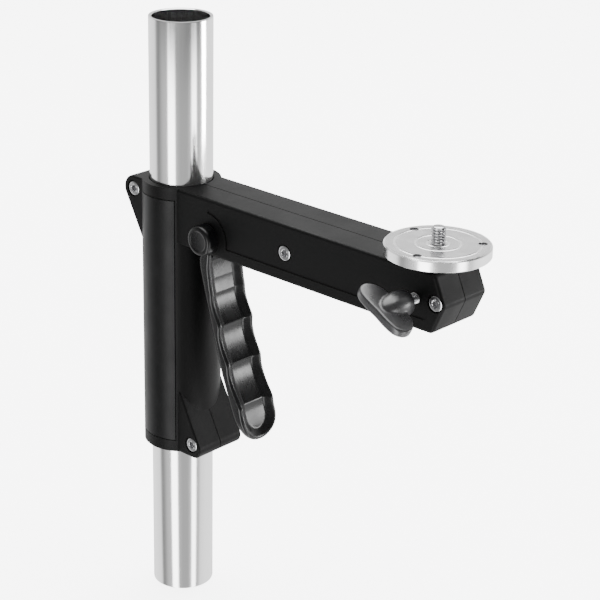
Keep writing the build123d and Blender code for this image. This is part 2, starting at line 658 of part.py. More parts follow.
def main():
    """Build every piece and write it as its own file."""
    os.makedirs("parts", exist_ok=True)
    shells = shell_pair()
    lower, upper = bush_places()
    pieces = {
        "column_tube": column_tube(),
        "lower_guide_bush": guide_bush(lower),
        "upper_guide_bush": guide_bush(upper),
        "front_shell": shells & half_space(-1),
        "rear_shell": shells & half_space(1),
        "sleeve_cover": sleeve_cover(),
        "shell_screws": shell_screws(),
        "shell_nuts": shell_nuts(),
        "lever": lever(),
        "lever_pivot_pin": pivot_pin(),
        "front_pivot_cap": pivot_cap(-1),
        "rear_pivot_cap": pivot_cap(1),
        "return_spring": return_spring(),
        "brake_shoe": brake_shoe(),
        "brake_lining": brake_lining(),
        "platform_disc": platform_disc(),
        "camera_stud": camera_stud(),
        "platform_set_screws": platform_set_screws(),
        "platform_spindle": platform_spindle(),
        "spindle_clip": spindle_clip(),
        "upper_spindle_bush": upper_spindle_bush(),
        "lower_spindle_bush": lower_spindle_bush(),
        "screw_insert": screw_insert(),
        "clamp_plug": clamp_plug(),
        "wing_screw": wing_screw(),
        "wing_knob": wing_knob(),
    }
    for name, piece in pieces.items():
        export_step(piece, f"parts/{name}.step")


main()
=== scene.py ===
"""Studio column section with a lever-braked camera arm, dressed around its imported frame."""

import json
import logging
import math
from dataclasses import astuple, dataclass, field
from enum import Enum
from typing import Sequence

import bmesh
import bpy
from mathutils import Matrix, Vector


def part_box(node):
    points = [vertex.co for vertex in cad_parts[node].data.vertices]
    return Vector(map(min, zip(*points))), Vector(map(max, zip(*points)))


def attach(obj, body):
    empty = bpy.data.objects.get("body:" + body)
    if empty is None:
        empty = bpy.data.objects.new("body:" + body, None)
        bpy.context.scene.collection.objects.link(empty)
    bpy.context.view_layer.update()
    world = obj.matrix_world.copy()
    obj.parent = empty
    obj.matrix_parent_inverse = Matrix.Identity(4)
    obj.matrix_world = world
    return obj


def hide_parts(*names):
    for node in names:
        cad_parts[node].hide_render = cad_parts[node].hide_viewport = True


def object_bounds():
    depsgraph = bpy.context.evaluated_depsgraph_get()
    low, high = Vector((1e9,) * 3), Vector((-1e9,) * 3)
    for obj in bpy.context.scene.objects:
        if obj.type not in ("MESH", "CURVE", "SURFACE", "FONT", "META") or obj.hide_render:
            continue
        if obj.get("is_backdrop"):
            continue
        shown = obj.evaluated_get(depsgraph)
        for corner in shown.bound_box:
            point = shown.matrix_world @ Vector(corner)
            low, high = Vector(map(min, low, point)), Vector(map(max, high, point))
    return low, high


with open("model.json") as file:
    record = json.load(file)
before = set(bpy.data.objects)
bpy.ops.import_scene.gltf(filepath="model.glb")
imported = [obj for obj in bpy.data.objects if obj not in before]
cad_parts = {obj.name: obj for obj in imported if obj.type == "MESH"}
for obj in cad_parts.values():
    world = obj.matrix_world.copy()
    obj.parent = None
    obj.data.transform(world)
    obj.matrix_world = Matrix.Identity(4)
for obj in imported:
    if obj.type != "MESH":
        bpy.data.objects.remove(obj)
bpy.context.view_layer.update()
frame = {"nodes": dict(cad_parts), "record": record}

logging.basicConfig(level=logging.INFO, format="%(message)s")
LOG = logging.getLogger("camera_arm")

MM = 0.001
MERGE = 0.0005 * MM
EAST = Vector((1.0, 0.0, 0.0))
NORTH = Vector((0.0, 1.0, 0.0))
UP = Vector((0.0, 0.0, 1.0))
Point = tuple[float, float, float]
Pair = tuple[float, float]
Socket = bpy.types.NodeSocket


class Slot(Enum):
    """The record's material slots."""

    COLUMN = "column"
    CASTING = "casting"
    COVER = "cover"
    LEVER = "lever"
    CAP = "cap"
    KNOB = "knob"
    STEEL = "steel"
    FASTENER = "fastener"
    PLATFORM = "platform"
    BUSH = "bush"
    SPINDLE_BUSH = "spindle_bush"
    LINING = "lining"
    SHOE = "shoe"
    BRASS = "brass"


class Body(Enum):
    """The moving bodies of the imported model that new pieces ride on."""

    COLUMN = "column"
    CARRIAGE = "carriage"
    HANDLE = "handle"
    PLATFORM = "platform"
    WING = "wing"


# --------------------------------------------------------------------------- materials


class Shader:
    """A small writer of node trees for one material."""

    def __init__(self, name: str) -> None:
        """Start an empty principled material.

        Args:
            name: The material's name.
        """
        self.material = bpy.data.materials.new(name)
        self.material.use_nodes = True
        self.tree = self.material.node_tree
        self.bsdf = self.tree.nodes["Principled BSDF"]
        self.position = self.tree.nodes.new("ShaderNodeTexCoord").outputs["Object"]

    def set(self, **values: float | tuple[float, ...]) -> "Shader":
        """Set constants on the principled shader's own sockets.

        Args:
            **values: Socket names with underscores for spaces, and their values.

        Returns:
            The shader itself.
        """
        for name, value in values.items():
            self.bsdf.inputs[name.replace("_", " ")].default_value = value
        return self

    def scaled(self, scale: Point, source: Socket | None = None) -> Socket:
        """Stretch the object coordinates.

        Args:
            scale: Factor along each axis.
            source: Another vector to stretch instead.

        Returns:
            The stretched vector.
        """
        node = self.tree.nodes.new("ShaderNodeMapping")
        node.inputs["Scale"].default_value = scale
        self.tree.links.new(source or self.position, node.inputs["Vector"])
        return node.outputs["Vector"]

    def centred(self, centre: Point) -> Socket:
        """Move the object coordinates so that centre is their origin.

        Args:
            centre: The new origin, in metres.

        Returns:
            The moved vector.
        """
        node = self.tree.nodes.new("ShaderNodeMapping")
        node.inputs["Location"].default_value = tuple(-c for c in centre)
        self.tree.links.new(self.position, node.inputs["Vector"])
        return node.outputs["Vector"]

    def noise(self, size: float, detail: float = 3.0, vector: Socket | None = None,
              rough: float = 0.5) -> Socket:
        """Fractal noise whose coarsest grain is about size metres across.

        Args:
            size: Grain size in metres, or in units of the given vector.
            detail: Number of octaves.
            vector: The coordinates to use.
            rough: How strong the finer octaves are.

        Returns:
            The noise value, about 0.5 on average.
        """
        node = self.tree.nodes.new("ShaderNodeTexNoise")
        node.inputs["Scale"].default_value = 1.0 / size
        node.inputs["Detail"].default_value = detail
        node.inputs["Roughness"].default_value = rough
        self.tree.links.new(vector or self.position, node.inputs["Vector"])
        return node.outputs["Fac"]

    def ramp(self, value: Socket, low: float, high: float, start: float = 0.3, end: float = 0.7
             ) -> Socket:
        """Map a value from start..end to low..high, smoothly.

        Args:
            value: The input socket.
            low: Result at start.
            high: Result at end.
            start: Input at which the change begins.
            end: Input at which it ends.

        Returns:
            The mapped value.
        """
        node = self.tree.nodes.new("ShaderNodeMapRange")
        node.interpolation_type = "SMOOTHSTEP"
        limits = {"From Min": start, "From Max": end, "To Min": low, "To Max": high}
        for name, number in limits.items():
            node.inputs[name].default_value = number
        self.tree.links.new(value, node.inputs["Value"])
        return node.outputs["Result"]

    def shared(self, first: Socket, second: Socket, share: float) -> Socket:
        """A weighted mean of two values.

        Args:
            first: The value that has the share.
            second: The value that has the rest.
            share: Weight of the first, 0 to 1.

        Returns:
            The mean.
        """
        rest = self.math("MULTIPLY", second, 1.0 - share)
        return self.math("ADD", self.math("MULTIPLY", first, share), rest)

    def math(self, operation: str, first: Socket, second: Socket | float) -> Socket:
        """Combine two values.

        Args:
            operation: A math node operation.
            first: The first input.
            second: The second input, a socket or a number.

        Returns:
            The result.
        """
        node = self.tree.nodes.new("ShaderNodeMath")
        node.operation = operation
        self.tree.links.new(first, node.inputs[0])
        if isinstance(second, (int, float)):
            node.inputs[1].default_value = second
        else:
            self.tree.links.new(second, node.inputs[1])
        return node.outputs[0]

    def colour(self, low: Point, high: Point, factor: Socket) -> "Shader":
        """Blend two base colours.

        Args:
            low: Colour where factor is 0.
            high: Colour where factor is 1.
            factor: The blend.

        Returns:
            The shader itself.
        """
        node = self.tree.nodes.new("ShaderNodeMix")
        node.data_type = "RGBA"
        node.inputs["A"].default_value = (*low, 1.0)
        node.inputs["B"].default_value = (*high, 1.0)
        self.tree.links.new(factor, node.inputs["Factor"])
        self.tree.links.new(node.outputs["Result"], self.bsdf.inputs["Base Color"])
        return self

    def roughness(self, value: Socket) -> "Shader":
        """Drive the roughness."""
        self.tree.links.new(value, self.bsdf.inputs["Roughness"])
        return self

    def bump(self, height: Socket, depth: float, strength: float = 1.0) -> "Shader":
        """Add a bump on top of those already there.

        Args:
            height: Height, 0 to 1.
            depth: Real height of 1, in metres.
            strength: How much of it shows.

        Returns:
            The shader itself.
        """
        node = self.tree.nodes.new("ShaderNodeBump")
        node.inputs["Distance"].default_value = depth
        node.inputs["Strength"].default_value = strength
        self.tree.links.new(height, node.inputs["Height"])
        normal = self.bsdf.inputs["Normal"]
        if normal.is_linked:
            self.tree.links.new(normal.links[0].from_socket, node.inputs["Normal"])
        self.tree.links.new(node.outputs["Normal"], normal)
        return self


@dataclass(frozen=True)
class PowderCoat:
    """Satin black powder coat with a fine, even texture."""

    tone: float = 0.0012
    gloss: float = 0.12
    grain: float = 0.35 * MM
    depth: float = 0.016 * MM
    sheen_low: float = 0.44
    sheen_high: float = 0.54
    cloud_size: float = 22 * MM
    dust_size: float = 1.1 * MM
    dust_range: Pair = (0.62, 0.78)
    dust_tint: Point = (2.2, 2.2, 2.3)
    peel_size: float = 4 * MM
    peel_depth: float = 0.03 * MM
    peel_strength: float = 0.6

    def make(self, name: str) -> bpy.types.Material:
        """Build the material and return it."""
        shader = Shader(name).set(Metallic=0.0, IOR=1.5, Specular_IOR_Level=self.gloss)
        grain = shader.noise(self.grain, 2.0)
        cloud = shader.noise(self.cloud_size, 4.0)
        dust = shader.ramp(shader.noise(self.dust_size, 5.0, rough=0.7), 0.0, 1.0, *self.dust_range)
        dusty = tuple(self.tone * tint for tint in self.dust_tint)
        shader.colour((self.tone,) * 3, dusty, dust)
        shader.roughness(shader.ramp(cloud, self.sheen_low, self.sheen_high))
        shader.bump(grain, self.depth)
        shader.bump(shader.noise(self.peel_size, 2.0), self.peel_depth, self.peel_strength)
        return shader.material


@dataclass(frozen=True)
class MouldedPlastic:
    """Moulded plastic: a fine spark texture and faint flow marks."""

    colour: Point = (0.006, 0.006, 0.0065)
    gloss: float = 0.5
    sheen_low: float = 0.28
    sheen_high: float = 0.38
    grain: float = 0.25 * MM
    depth: float = 0.008 * MM
    flow_size: float = 6 * MM
    flow_range: Pair = (0.4, 0.75)
    flow_lift: float = 1.6
    handling_size: float = 9 * MM
    handling_stretch: Point = (1.0, 1.0, 0.45)
    sink_size: float = 7 * MM
    sink_depth: float = 0.03 * MM
    sink_strength: float = 0.5

    def make(self, name: str) -> bpy.types.Material:
        """Build the material and return it."""
        shader = Shader(name).set(Metallic=0.0, IOR=1.5, Specular_IOR_Level=self.gloss)
        lighter = tuple(c * self.flow_lift for c in self.colour)
        flow = shader.ramp(shader.noise(self.flow_size, 5.0), 0.0, 1.0, *self.flow_range)
        shader.colour(self.colour, lighter, flow)
        stretched = shader.scaled(self.handling_stretch)
        handling = shader.noise(self.handling_size, 5.0, stretched, rough=0.6)
        shader.roughness(shader.ramp(handling, self.sheen_low, self.sheen_high))
        shader.bump(shader.noise(self.grain, 2.0), self.depth)
        shader.bump(shader.noise(self.sink_size, 1.0), self.sink_depth, self.sink_strength)
        return shader.material


@dataclass(frozen=True)
class DrawnTube:
    """Bright plated tube with fine lines along its length."""

    colour: Point = (0.78, 0.78, 0.78)
    bright: Point = (0.86, 0.86, 0.86)
    sheen_low: float = 0.10
    sheen_high: float = 0.17
    sheen_range: Pair = (0.38, 0.66)
    line_width: float = 0.5 * MM
    line_stretch: Point = (1.0, 1.0, 0.012)
    line_share: float = 0.6
    line_depth: float = 0.004 * MM
    line_strength: float = 0.6
    scuff_size: float = 3 * MM
    scuff_stretch: Point = (1.0, 1.0, 0.3)

    def make(self, name: str) -> bpy.types.Material:
        """Build the material and return it."""
        shader = Shader(name).set(Metallic=1.0, IOR=2.5)
        lines = shader.noise(self.line_width, 4.0, shader.scaled(self.line_stretch), rough=0.65)
        scuffs = shader.noise(self.scuff_size, 6.0, shader.scaled(self.scuff_stretch), rough=0.7)
        shader.colour(self.colour, self.bright, lines)
        mixed = shader.shared(lines, scuffs, self.line_share)
        shader.roughness(shader.ramp(mixed, self.sheen_low, self.sheen_high, *self.sheen_range))
        shader.bump(lines, self.line_depth, self.line_strength)
        return shader.material


@dataclass(frozen=True)
class TurnedMetal:
    """Metal finished on a lathe: fine rings round an axis, with raised bands whose lighter colour is a
    painted highlight.
    """

    colour: Point
    centre: Point = (0.0, 0.0, 0.0)
    axis: str = "Z"
    pitch: float = 0.28 * MM
    sheen_low: float = 0.20
    sheen_high: float = 0.32
    sheen_range: Pair = (0.36, 0.64)
    depth: float = 0.006 * MM
    ring_share: float = 0.55
    cloud_size: float = 5 * MM
    shade: float = 0.82
    tone_range: Pair = (0.3, 0.62)
    full_tone: float = 0.5
    bands: tuple[float, ...] = ()
    band_core: float = 0.2 * MM
    band_width: float = 0.9 * MM
    band_height: float = 0.16 * MM
    # Painted highlight: the colour that the rings at the band radii are painted with.
    band_highlight_colour: Point = (0.98, 0.98, 0.98)

    def radius(self, shader: Shader) -> Socket:
        """Distance from the turning axis, in metres.

        Args:
            shader: The shader being written.

        Returns:
            The distance.
        """
        split = shader.tree.nodes.new("ShaderNodeSeparateXYZ")
        shader.tree.links.new(shader.centred(self.centre), split.inputs[0])
        first, second = [split.outputs[name] for name in "XYZ" if name != self.axis]
        squares = [shader.math("MULTIPLY", side, side) for side in (first, second)]
        return shader.math("POWER", shader.math("ADD", *squares), 0.5)

    def make(self, name: str) -> bpy.types.Material:
        """Build the material and return it."""
        shader = Shader(name).set(Metallic=1.0, IOR=2.0)
        join = shader.tree.nodes.new("ShaderNodeCombineXYZ")
        reach = self.radius(shader)
        shader.tree.links.new(reach, join.inputs[0])
        rings = shader.noise(self.pitch, 4.0, join.outputs[0], rough=0.7)
        cloud = shader.noise(self.cloud_size, 4.0)
        darker = tuple(c * self.shade for c in self.colour)
        tones = shader.ramp(rings, 0.0, self.full_tone, *self.tone_range)
        # At each band the bump is a real raised ring; its colour is also raised towards the painted highlight
        # colour.
        for band in self.bands:
            off = shader.math("ABSOLUTE", shader.math("SUBTRACT", reach, band), 0.0)
            band_hump_and_highlight = shader.ramp(off, 1.0, 0.0, self.band_core, self.band_width)
            tones = shader.math("MAXIMUM", tones, band_hump_and_highlight)
            shader.bump(band_hump_and_highlight, self.band_height)
        shader.colour(darker, self.band_highlight_colour if self.bands else self.colour, tones)
        mixed = shader.shared(rings, cloud, self.ring_share)
        shader.roughness(shader.ramp(mixed, self.sheen_low, self.sheen_high, *self.sheen_range))
        shader.bump(rings, self.depth)
        return shader.material


@dataclass(frozen=True)
class BrightMetal:
    """Plain machined or plated metal with light handling marks."""

    colour: Point
    sheen_low: float = 0.16
    sheen_high: float = 0.30
    sheen_range: Pair = (0.35, 0.65)
    grain: float = 0.8 * MM
    depth: float = 0.006 * MM
    shade: float = 0.75
    mark_range: Pair = (0.35, 0.6)

    def make(self, name: str) -> bpy.types.Material:
        """Build the material and return it."""
        shader = Shader(name).set(Metallic=1.0, IOR=2.0)
        marks = shader.noise(self.grain, 6.0, rough=0.65)
        darker = tuple(c * self.shade for c in self.colour)
        shader.colour(darker, self.colour, shader.ramp(marks, 0.0, 1.0, *self.mark_range))
        shader.roughness(shader.ramp(marks, self.sheen_high, self.sheen_low, *self.sheen_range))
        shader.bump(marks, self.depth)
        return shader.material


@dataclass(frozen=True)
class FrictionLining:
    """Moulded friction material with short fibres."""

    colour: Point = (0.05, 0.04, 0.034)
    fibre_colour: Point = (0.16, 0.13, 0.10)
    fibre_size: float = 0.5 * MM
    fibre_stretch: Point = (1.0, 0.35, 1.0)
    fibre_range: Pair = (0.55, 0.7)
    depth: float = 0.05 * MM

    def make(self, name: str) -> bpy.types.Material:
        """Build the material and return it."""
        shader = Shader(name).set(Metallic=0.0, Roughness=0.85)
        fibres = shader.noise(self.fibre_size, 6.0, shader.scaled(self.fibre_stretch), rough=0.8)
        shown = shader.ramp(fibres, 0.0, 1.0, *self.fibre_range)
        shader.colour(self.colour, self.fibre_colour, shown)
        shader.bump(fibres, self.depth)
        return shader.material


@dataclass(frozen=True)
class FloorPaint:
    """Matt near-white floor that glows, so that it reads as a white ground."""

    tone: float = 0.93
    sheen: float = 0.95
    gloss: float = 0.1
    glow: float = 5.0

    def make(self, name: str) -> bpy.types.Material:
        """Build the material and return it."""
        shader = Shader(name).set(Roughness=self.sheen, Specular_IOR_Level=self.gloss)
        shader.set(Base_Color=(self.tone,) * 3 + (1.0,), Emission_Color=(1.0, 1.0, 1.0, 1.0))
        return shader.set(Emission_Strength=self.glow).material


class Palette:
    """Every finish of the object, made once and given to nodes and pieces by slot."""

    def __init__(self, platform_axis: Vector) -> None:
        """Make the materials.

        Args:
            platform_axis: A point on the axis of the camera platform, in metres.
        """
        centre = (platform_axis.x, platform_axis.y, 0.0)
        finishes = {
            Slot.COLUMN: DrawnTube(),
            Slot.CASTING: PowderCoat(),
            Slot.COVER: MouldedPlastic((0.0012, 0.0012, 0.0013), gloss=0.16, sheen_low=0.38,
                                       sheen_high=0.46),
            Slot.LEVER: MouldedPlastic((0.0015, 0.0015, 0.0016), gloss=0.38, sheen_low=0.24,
                                       sheen_high=0.32),
            Slot.CAP: MouldedPlastic((0.0015, 0.0015, 0.0016), gloss=0.25, sheen_low=0.26,
                                     sheen_high=0.34),
            Slot.KNOB: MouldedPlastic((0.013, 0.013, 0.0135), gloss=0.6, sheen_low=0.26,
                                      sheen_high=0.36),
            Slot.STEEL: BrightMetal((0.42, 0.42, 0.43)),
            Slot.FASTENER: BrightMetal((0.52, 0.52, 0.53), sheen_low=0.14, sheen_high=0.26),
            # The platform's bands are raised rings whose lighter colour is a painted highlight.
            Slot.PLATFORM: TurnedMetal((0.74, 0.735, 0.74), centre, sheen_low=0.16, sheen_high=0.28,
                                       bands=(4.6 * MM, 9.6 * MM, 18.4 * MM, 22.7 * MM)),
            Slot.BUSH: MouldedPlastic((0.60, 0.59, 0.55), sheen_low=0.35, sheen_high=0.5),
            Slot.SPINDLE_BUSH: MouldedPlastic((0.02, 0.02, 0.02), sheen_low=0.35, sheen_high=0.5),
            Slot.LINING: FrictionLining(),
            Slot.SHOE: BrightMetal((0.70, 0.70, 0.71), sheen_low=0.35, sheen_high=0.5),
            Slot.BRASS: BrightMetal((0.78, 0.60, 0.28)),
        }
        self.materials = {
            slot: finish.make(f"{slot.value}_finish") for slot, finish in finishes.items()}

    def dress_frame(self) -> None:
        """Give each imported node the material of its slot."""
        slots = {part["node"]: part["material_slot"] for part in frame["record"]["subparts"]}
        for name, node in frame["nodes"].items():
            node.data.materials.clear()
            node.data.materials.append(self.materials[Slot(slots[name])])


# --------------------------------------------------------------------------- shapes


@dataclass
class Frame:
    """A turned piece's own axes: where it starts, which way it points and where its angles begin."""

    origin: Vector
    axis: Vector
    start: Vector

    def at(self, radius: float, angle: float, along: float) -> Vector:
        """The point at a radius, an angle and a distance along the axis."""
        side = self.axis.cross(self.start)
        spoke = self.start * math.cos(angle) + side * math.sin(angle)
        return self.origin + spoke * radius + self.axis * along


@dataclass
class Skin:
    """The points and faces of one piece, laid shell by shell."""

    points: list[Vector] = field(default_factory=list)
    faces: list[tuple[int, ...]] = field(default_factory=list)

    def loft(self, rings: Sequence[Sequence[Vector]], joined: bool = False) -> "Skin":
        """Lay a shell through closed rings that have the same number of points.

        Args:
            rings: The rings, in order.
            joined: Whether the last ring meets the first again; otherwise both ends are closed.

        Returns:
            The skin itself.
        """
        count, base = len(rings[0]), len(self.points)
        self.points += [point for ring in rings for point in ring]
        last = len(rings) if joined else len(rings) - 1
        for row in range(last):
            low, high = base + row * count, base + (row + 1) % len(rings) * count
            for step in range(count):
                after = (step + 1) % count
                self.faces.append((low + step, low + after, high + after, high + step))
        if not joined:
            for ring, first in ((rings[0], base), (rings[-1], base + last * count)):
                centre = len(self.points)
                self.points.append(sum(ring, Vector()) / count)
                self.faces += [
                    (first + step, first + (step + 1) % count, centre) for step in range(count)]
        return self

    def turn(self, outline: Sequence[Pair], place: Frame, segments: int, joined: bool = False
             ) -> "Skin":
        """Turn an outline round an axis.

        Args:
            outline: Radius and distance along the axis, in metres.
            place: The piece's own axes.
            segments: Steps round the axis.
            joined: Whether the outline is closed, as for a tube.

        Returns:
            The skin itself.
        """
        angles = [math.tau * step / segments for step in range(segments)]
        return self.loft([[place.at(r, angle, h) for angle in angles] for r, h in outline], joined)

    def mesh(self, name: str) -> bpy.types.Mesh:
        """Write the mesh, with its doubles merged and its faces turned outwards.

        Args:
            name: The mesh's name.

        Returns:
            The mesh.
        """
        mesh = bpy.data.meshes.new(name)
        mesh.from_pydata([tuple(point) for point in self.points], [], self.faces)
        tidy_mesh(mesh)
        return mesh


def tidy_mesh(mesh: bpy.types.Mesh, merge: float = MERGE) -> None:
    """Merge doubles, drop empty faces and turn every face outwards.

    Args:
        mesh: The mesh to tidy.
        merge: How close two points have to be to become one.
    """
    work = bmesh.new()
    work.from_mesh(mesh)
    bmesh.ops.remove_doubles(work, verts=work.verts, dist=merge)
    bmesh.ops.dissolve_degenerate(work, dist=merge, edges=work.edges)
    bmesh.ops.recalc_face_normals(work, faces=work.faces)
    work.to_mesh(mesh)
    work.free()


def rounded(corner: Pair, before: Pair, after: Pair, radius: float, steps: int = 5) -> list[Pair]:
    """Points of a round corner in an outline.

    Args:
        corner: The sharp corner.
        before: The outline's point before it.
        after: The outline's point after it.
        radius: How far from the corner the rounding starts.
        steps: Number of segments.

    Returns:
        The points, in order.
    """
    tip = Vector(corner)
    first = tip + (Vector(before) - tip).normalized() * radius
    last = tip + (Vector(after) - tip).normalized() * radius
    points = []
    for step in range(steps + 1):
        share = step / steps
        blend = first * (1 - share) ** 2 + tip * (2 * share * (1 - share)) + last * share**2
        points.append((blend.x, blend.y))
    return points


def smooth_line(points: Sequence[Pair], steps: int, closed: bool = False) -> list[Pair]:
    """A smooth curve through points, by Catmull and Rom's rule.

    Args:
        points: The points that it passes.
        steps: Segments between two of them.
        closed: Whether it comes back to its first point.

    Returns:
        The points of the curve.
    """
    count = len(points)
    spans = count if closed else count - 1
    line = []
    for span in range(spans):
        four = []
        for shift in (-1, 0, 1, 2):
            index = span + shift
            index = index % count if closed else min(max(index, 0), count - 1)
            four.append(Vector(points[index]))
        a, b, c, d = four
        for step in range(steps):
            t = step / steps
            bend, twist = 2 * a - 5 * b + 4 * c - d, 3 * b - a - 3 * c + d
            spot = 0.5 * (2 * b + (c - a) * t + bend * t**2 + twist * t**3)
            line.append((spot.x, spot.y))
    if not closed:
        line.append(tuple(points[-1]))
    return line


def between(table: Sequence[Pair], key: float) -> float:
    """Read a value from a table of falling keys, on straight lines between its rows.

    Args:
        table: Key and value pairs, the keys falling.
        key: The key to read at.

    Returns:
        The value.
    """
    if key >= table[0][0]:
        return table[0][1]
    for (high, first), (low, second) in zip(table, table[1:]):
        if key >= low:
            return first + (second - first) * (high - key) / (high - low)
    return table[-1][1]


class Workshop:
    """Turns meshes into finished pieces of the object."""

    def __init__(self, palette: Palette) -> None:
        """Keep the finishes that pieces are given."""
        self.palette = palette

    def piece(self, mesh: bpy.types.Mesh, name: str, body: Body, slot: Slot, replaces: Sequence[str],
              crease: float) -> bpy.types.Object:
        """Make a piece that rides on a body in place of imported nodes.

        Args:
            mesh: Its mesh, in its place.
            name: The piece's name.
            body: The body that it moves with.
            slot: The record's slot that its finish comes from.
            replaces: The nodes that it stands for.
            crease: The angle in degrees above which an edge stays sharp.

        Returns:
            The piece.
        """
        mesh.name = name
        mesh.materials.clear()
        mesh.materials.append(self.palette.materials[slot])
        mesh.shade_smooth()
        mesh.set_sharp_from_angle(angle=math.radians(crease))
        piece = bpy.data.objects.new(name, mesh)
        bpy.context.scene.collection.objects.link(piece)
        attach(piece, body.value)
        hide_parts(*replaces)
        LOG.info("%s: %d faces on %s", name, len(mesh.polygons), body.value)
        return piece


# --------------------------------------------------------------------------- geometry nodes


class Recipe:
    """A Geometry Nodes group that is written in code, with named sizes."""

    def __init__(self, name: str, sizes: Sequence[str]) -> None:
        """Start a group.

        Args:
            name: The group's name.
            sizes: Names of its number inputs.
        """
        self.tree = bpy.data.node_groups.new(name, "GeometryNodeTree")
        face = self.tree.interface
        face.new_socket("Geometry", in_out="INPUT", socket_type="NodeSocketGeometry")
        kinds = {size: "NodeSocketFloat" for size in sizes}
        kinds |= {"Turn": "NodeSocketVector", "Finish": "NodeSocketMaterial"}
        self.keys = {label: face.new_socket(label, in_out="INPUT", socket_type=kind).identifier
                     for label, kind in kinds.items()}
        face.new_socket("Geometry", in_out="OUTPUT", socket_type="NodeSocketGeometry")
        self.given = self.tree.nodes.new("NodeGroupInput")
        self.out = self.tree.nodes.new("NodeGroupOutput")

    def node(self, kind: str, *inputs: Socket | float | Point | None, **settings: object) -> bpy.types.Node:
        """Add a node.

        Args:
            kind: Its type, without the prefix GeometryNode or ShaderNode.
            *inputs: Sockets or values for its inputs in order; None leaves one alone.
            **settings: Its properties.

        Returns:
            The node.
        """
        node = self.tree.nodes.new(kind)
        for name, value in settings.items():
            setattr(node, name, value)
        for target, value in zip(node.inputs, inputs):
            if isinstance(value, bpy.types.NodeSocket):
                self.tree.links.new(value, target)
            elif value is not None:
                target.default_value = value
        return node

    def math(self, operation: str, *terms: Socket | float) -> Socket:
        """Combine numbers by a math node and return its result."""
        return self.node("ShaderNodeMath", *terms, operation=operation).outputs[0]

    def clamped(self, value: Socket) -> Socket:
        """The value, kept between 0 and 1."""
        return self.math("MINIMUM", self.math("MAXIMUM", value, 0.0), 1.0)

    def zigzag(self, value: Socket) -> Socket:
        """A wave that falls from 1 to 0 and rises back to 1 once in each unit of the value."""
        return self.math("ABSOLUTE", self.math("MULTIPLY_ADD", self.math("FRACT", value), 2.0, -1.0))

    def size(self, name: str) -> Socket:
        """The group's input of that name."""
        return self.given.outputs[name]

    def total(self, terms: dict[str, float], plus: float = 0.0) -> Socket:
        """A weighted sum of named sizes.

        Args:
            terms: Weight of each size.
            plus: A constant to add, in metres.

        Returns:
            The sum.
        """
        value: Socket | float = plus
        for name, weight in terms.items():
            value = self.math("MULTIPLY_ADD", self.size(name), weight, value)
        return value if isinstance(value, bpy.types.NodeSocket) else self.math("ADD", value, 0.0)

    def polar_grid(self, segments: int, rows: int) -> tuple[bpy.types.Node, Socket, Socket]:
        """A grid whose columns are angles and whose rows are steps along an axis.

        Args:
            segments: Steps round the axis.
            rows: Number of rows.

        Returns:
            The grid node, the angle's share of a turn and the row's share of the length.
        """
        grid = self.node("GeometryNodeMeshGrid", 1.0, 1.0, segments + 1, rows)
        split = self.node("ShaderNodeSeparateXYZ", self.node("GeometryNodeInputPosition").outputs[0])
        return grid, self.math("ADD", split.outputs[0], 0.5), self.math("ADD", split.outputs[1], 0.5)

    def wrap(self, grid: bpy.types.Node, angle: Socket, radius: Socket, along: Socket) -> Socket:
        """Roll a grid up round Z and close its seam and poles.

        Args:
            grid: The grid.
            angle: Share of a turn.
            radius: Distance from the axis.
            along: Distance along the axis.

        Returns:
            The closed surface.
        """
        turn = self.math("MULTIPLY", angle, math.tau)
        x = self.math("MULTIPLY", radius, self.math("COSINE", turn))
        y = self.math("MULTIPLY", radius, self.math("SINE", turn))
        spot = self.node("ShaderNodeCombineXYZ", x, y, along).outputs[0]
        placed = self.node("GeometryNodeSetPosition", grid.outputs[0], None, spot).outputs[0]
        merged = self.node("GeometryNodeMergeByDistance", placed)
        merged.inputs["Distance"].default_value = MERGE
        return merged.outputs[0]

    def finish(self, shape: Socket) -> None:
        """Repeat the shape at every given point, realize it and give it its finish."""
        spread = self.node("GeometryNodeInstanceOnPoints", self.given.outputs["Geometry"])
        self.tree.links.new(shape, spread.inputs["Instance"])
        self.tree.links.new(self.size("Turn"), spread.inputs["Rotation"])
        real = self.node("GeometryNodeRealizeInstances", spread.outputs[0])
        dressed = self.node("GeometryNodeSetMaterial", real.outputs[0])
        self.tree.links.new(self.size("Finish"), dressed.inputs["Material"])
        self.tree.links.new(dressed.outputs[0], self.out.inputs[0])

    def cast(self, places: Sequence[Vector], turn: Point, finish: bpy.types.Material, sizes: dict[str, float]
             ) -> bpy.types.Mesh:
        """Run the recipe at some points and keep the plain mesh.

        Args:
            places: Where the shape is put.
            turn: Its rotation, in radians about X, Y and Z.
            finish: Its material.
            sizes: Values of the named sizes, in metres.

        Returns:
            The mesh.
        """
        seeds = bpy.data.meshes.new("places")
        seeds.from_pydata([tuple(place) for place in places], [], [])
        holder = bpy.data.objects.new("places", seeds)
        bpy.context.scene.collection.objects.link(holder)
        modifier = holder.modifiers.new("recipe", "NODES")
        modifier.node_group = self.tree
        for name, value in sizes.items():
            modifier[self.keys[name]] = value
        modifier[self.keys["Turn"]] = turn
        modifier[self.keys["Finish"]] = finish
        bpy.context.view_layer.update()
        evaluated = holder.evaluated_get(bpy.context.evaluated_depsgraph_get())
        mesh = bpy.data.meshes.new_from_object(evaluated)
        holder.modifiers.remove(modifier)
        bpy.data.objects.remove(holder)
        tidy_mesh(mesh)
        return mesh


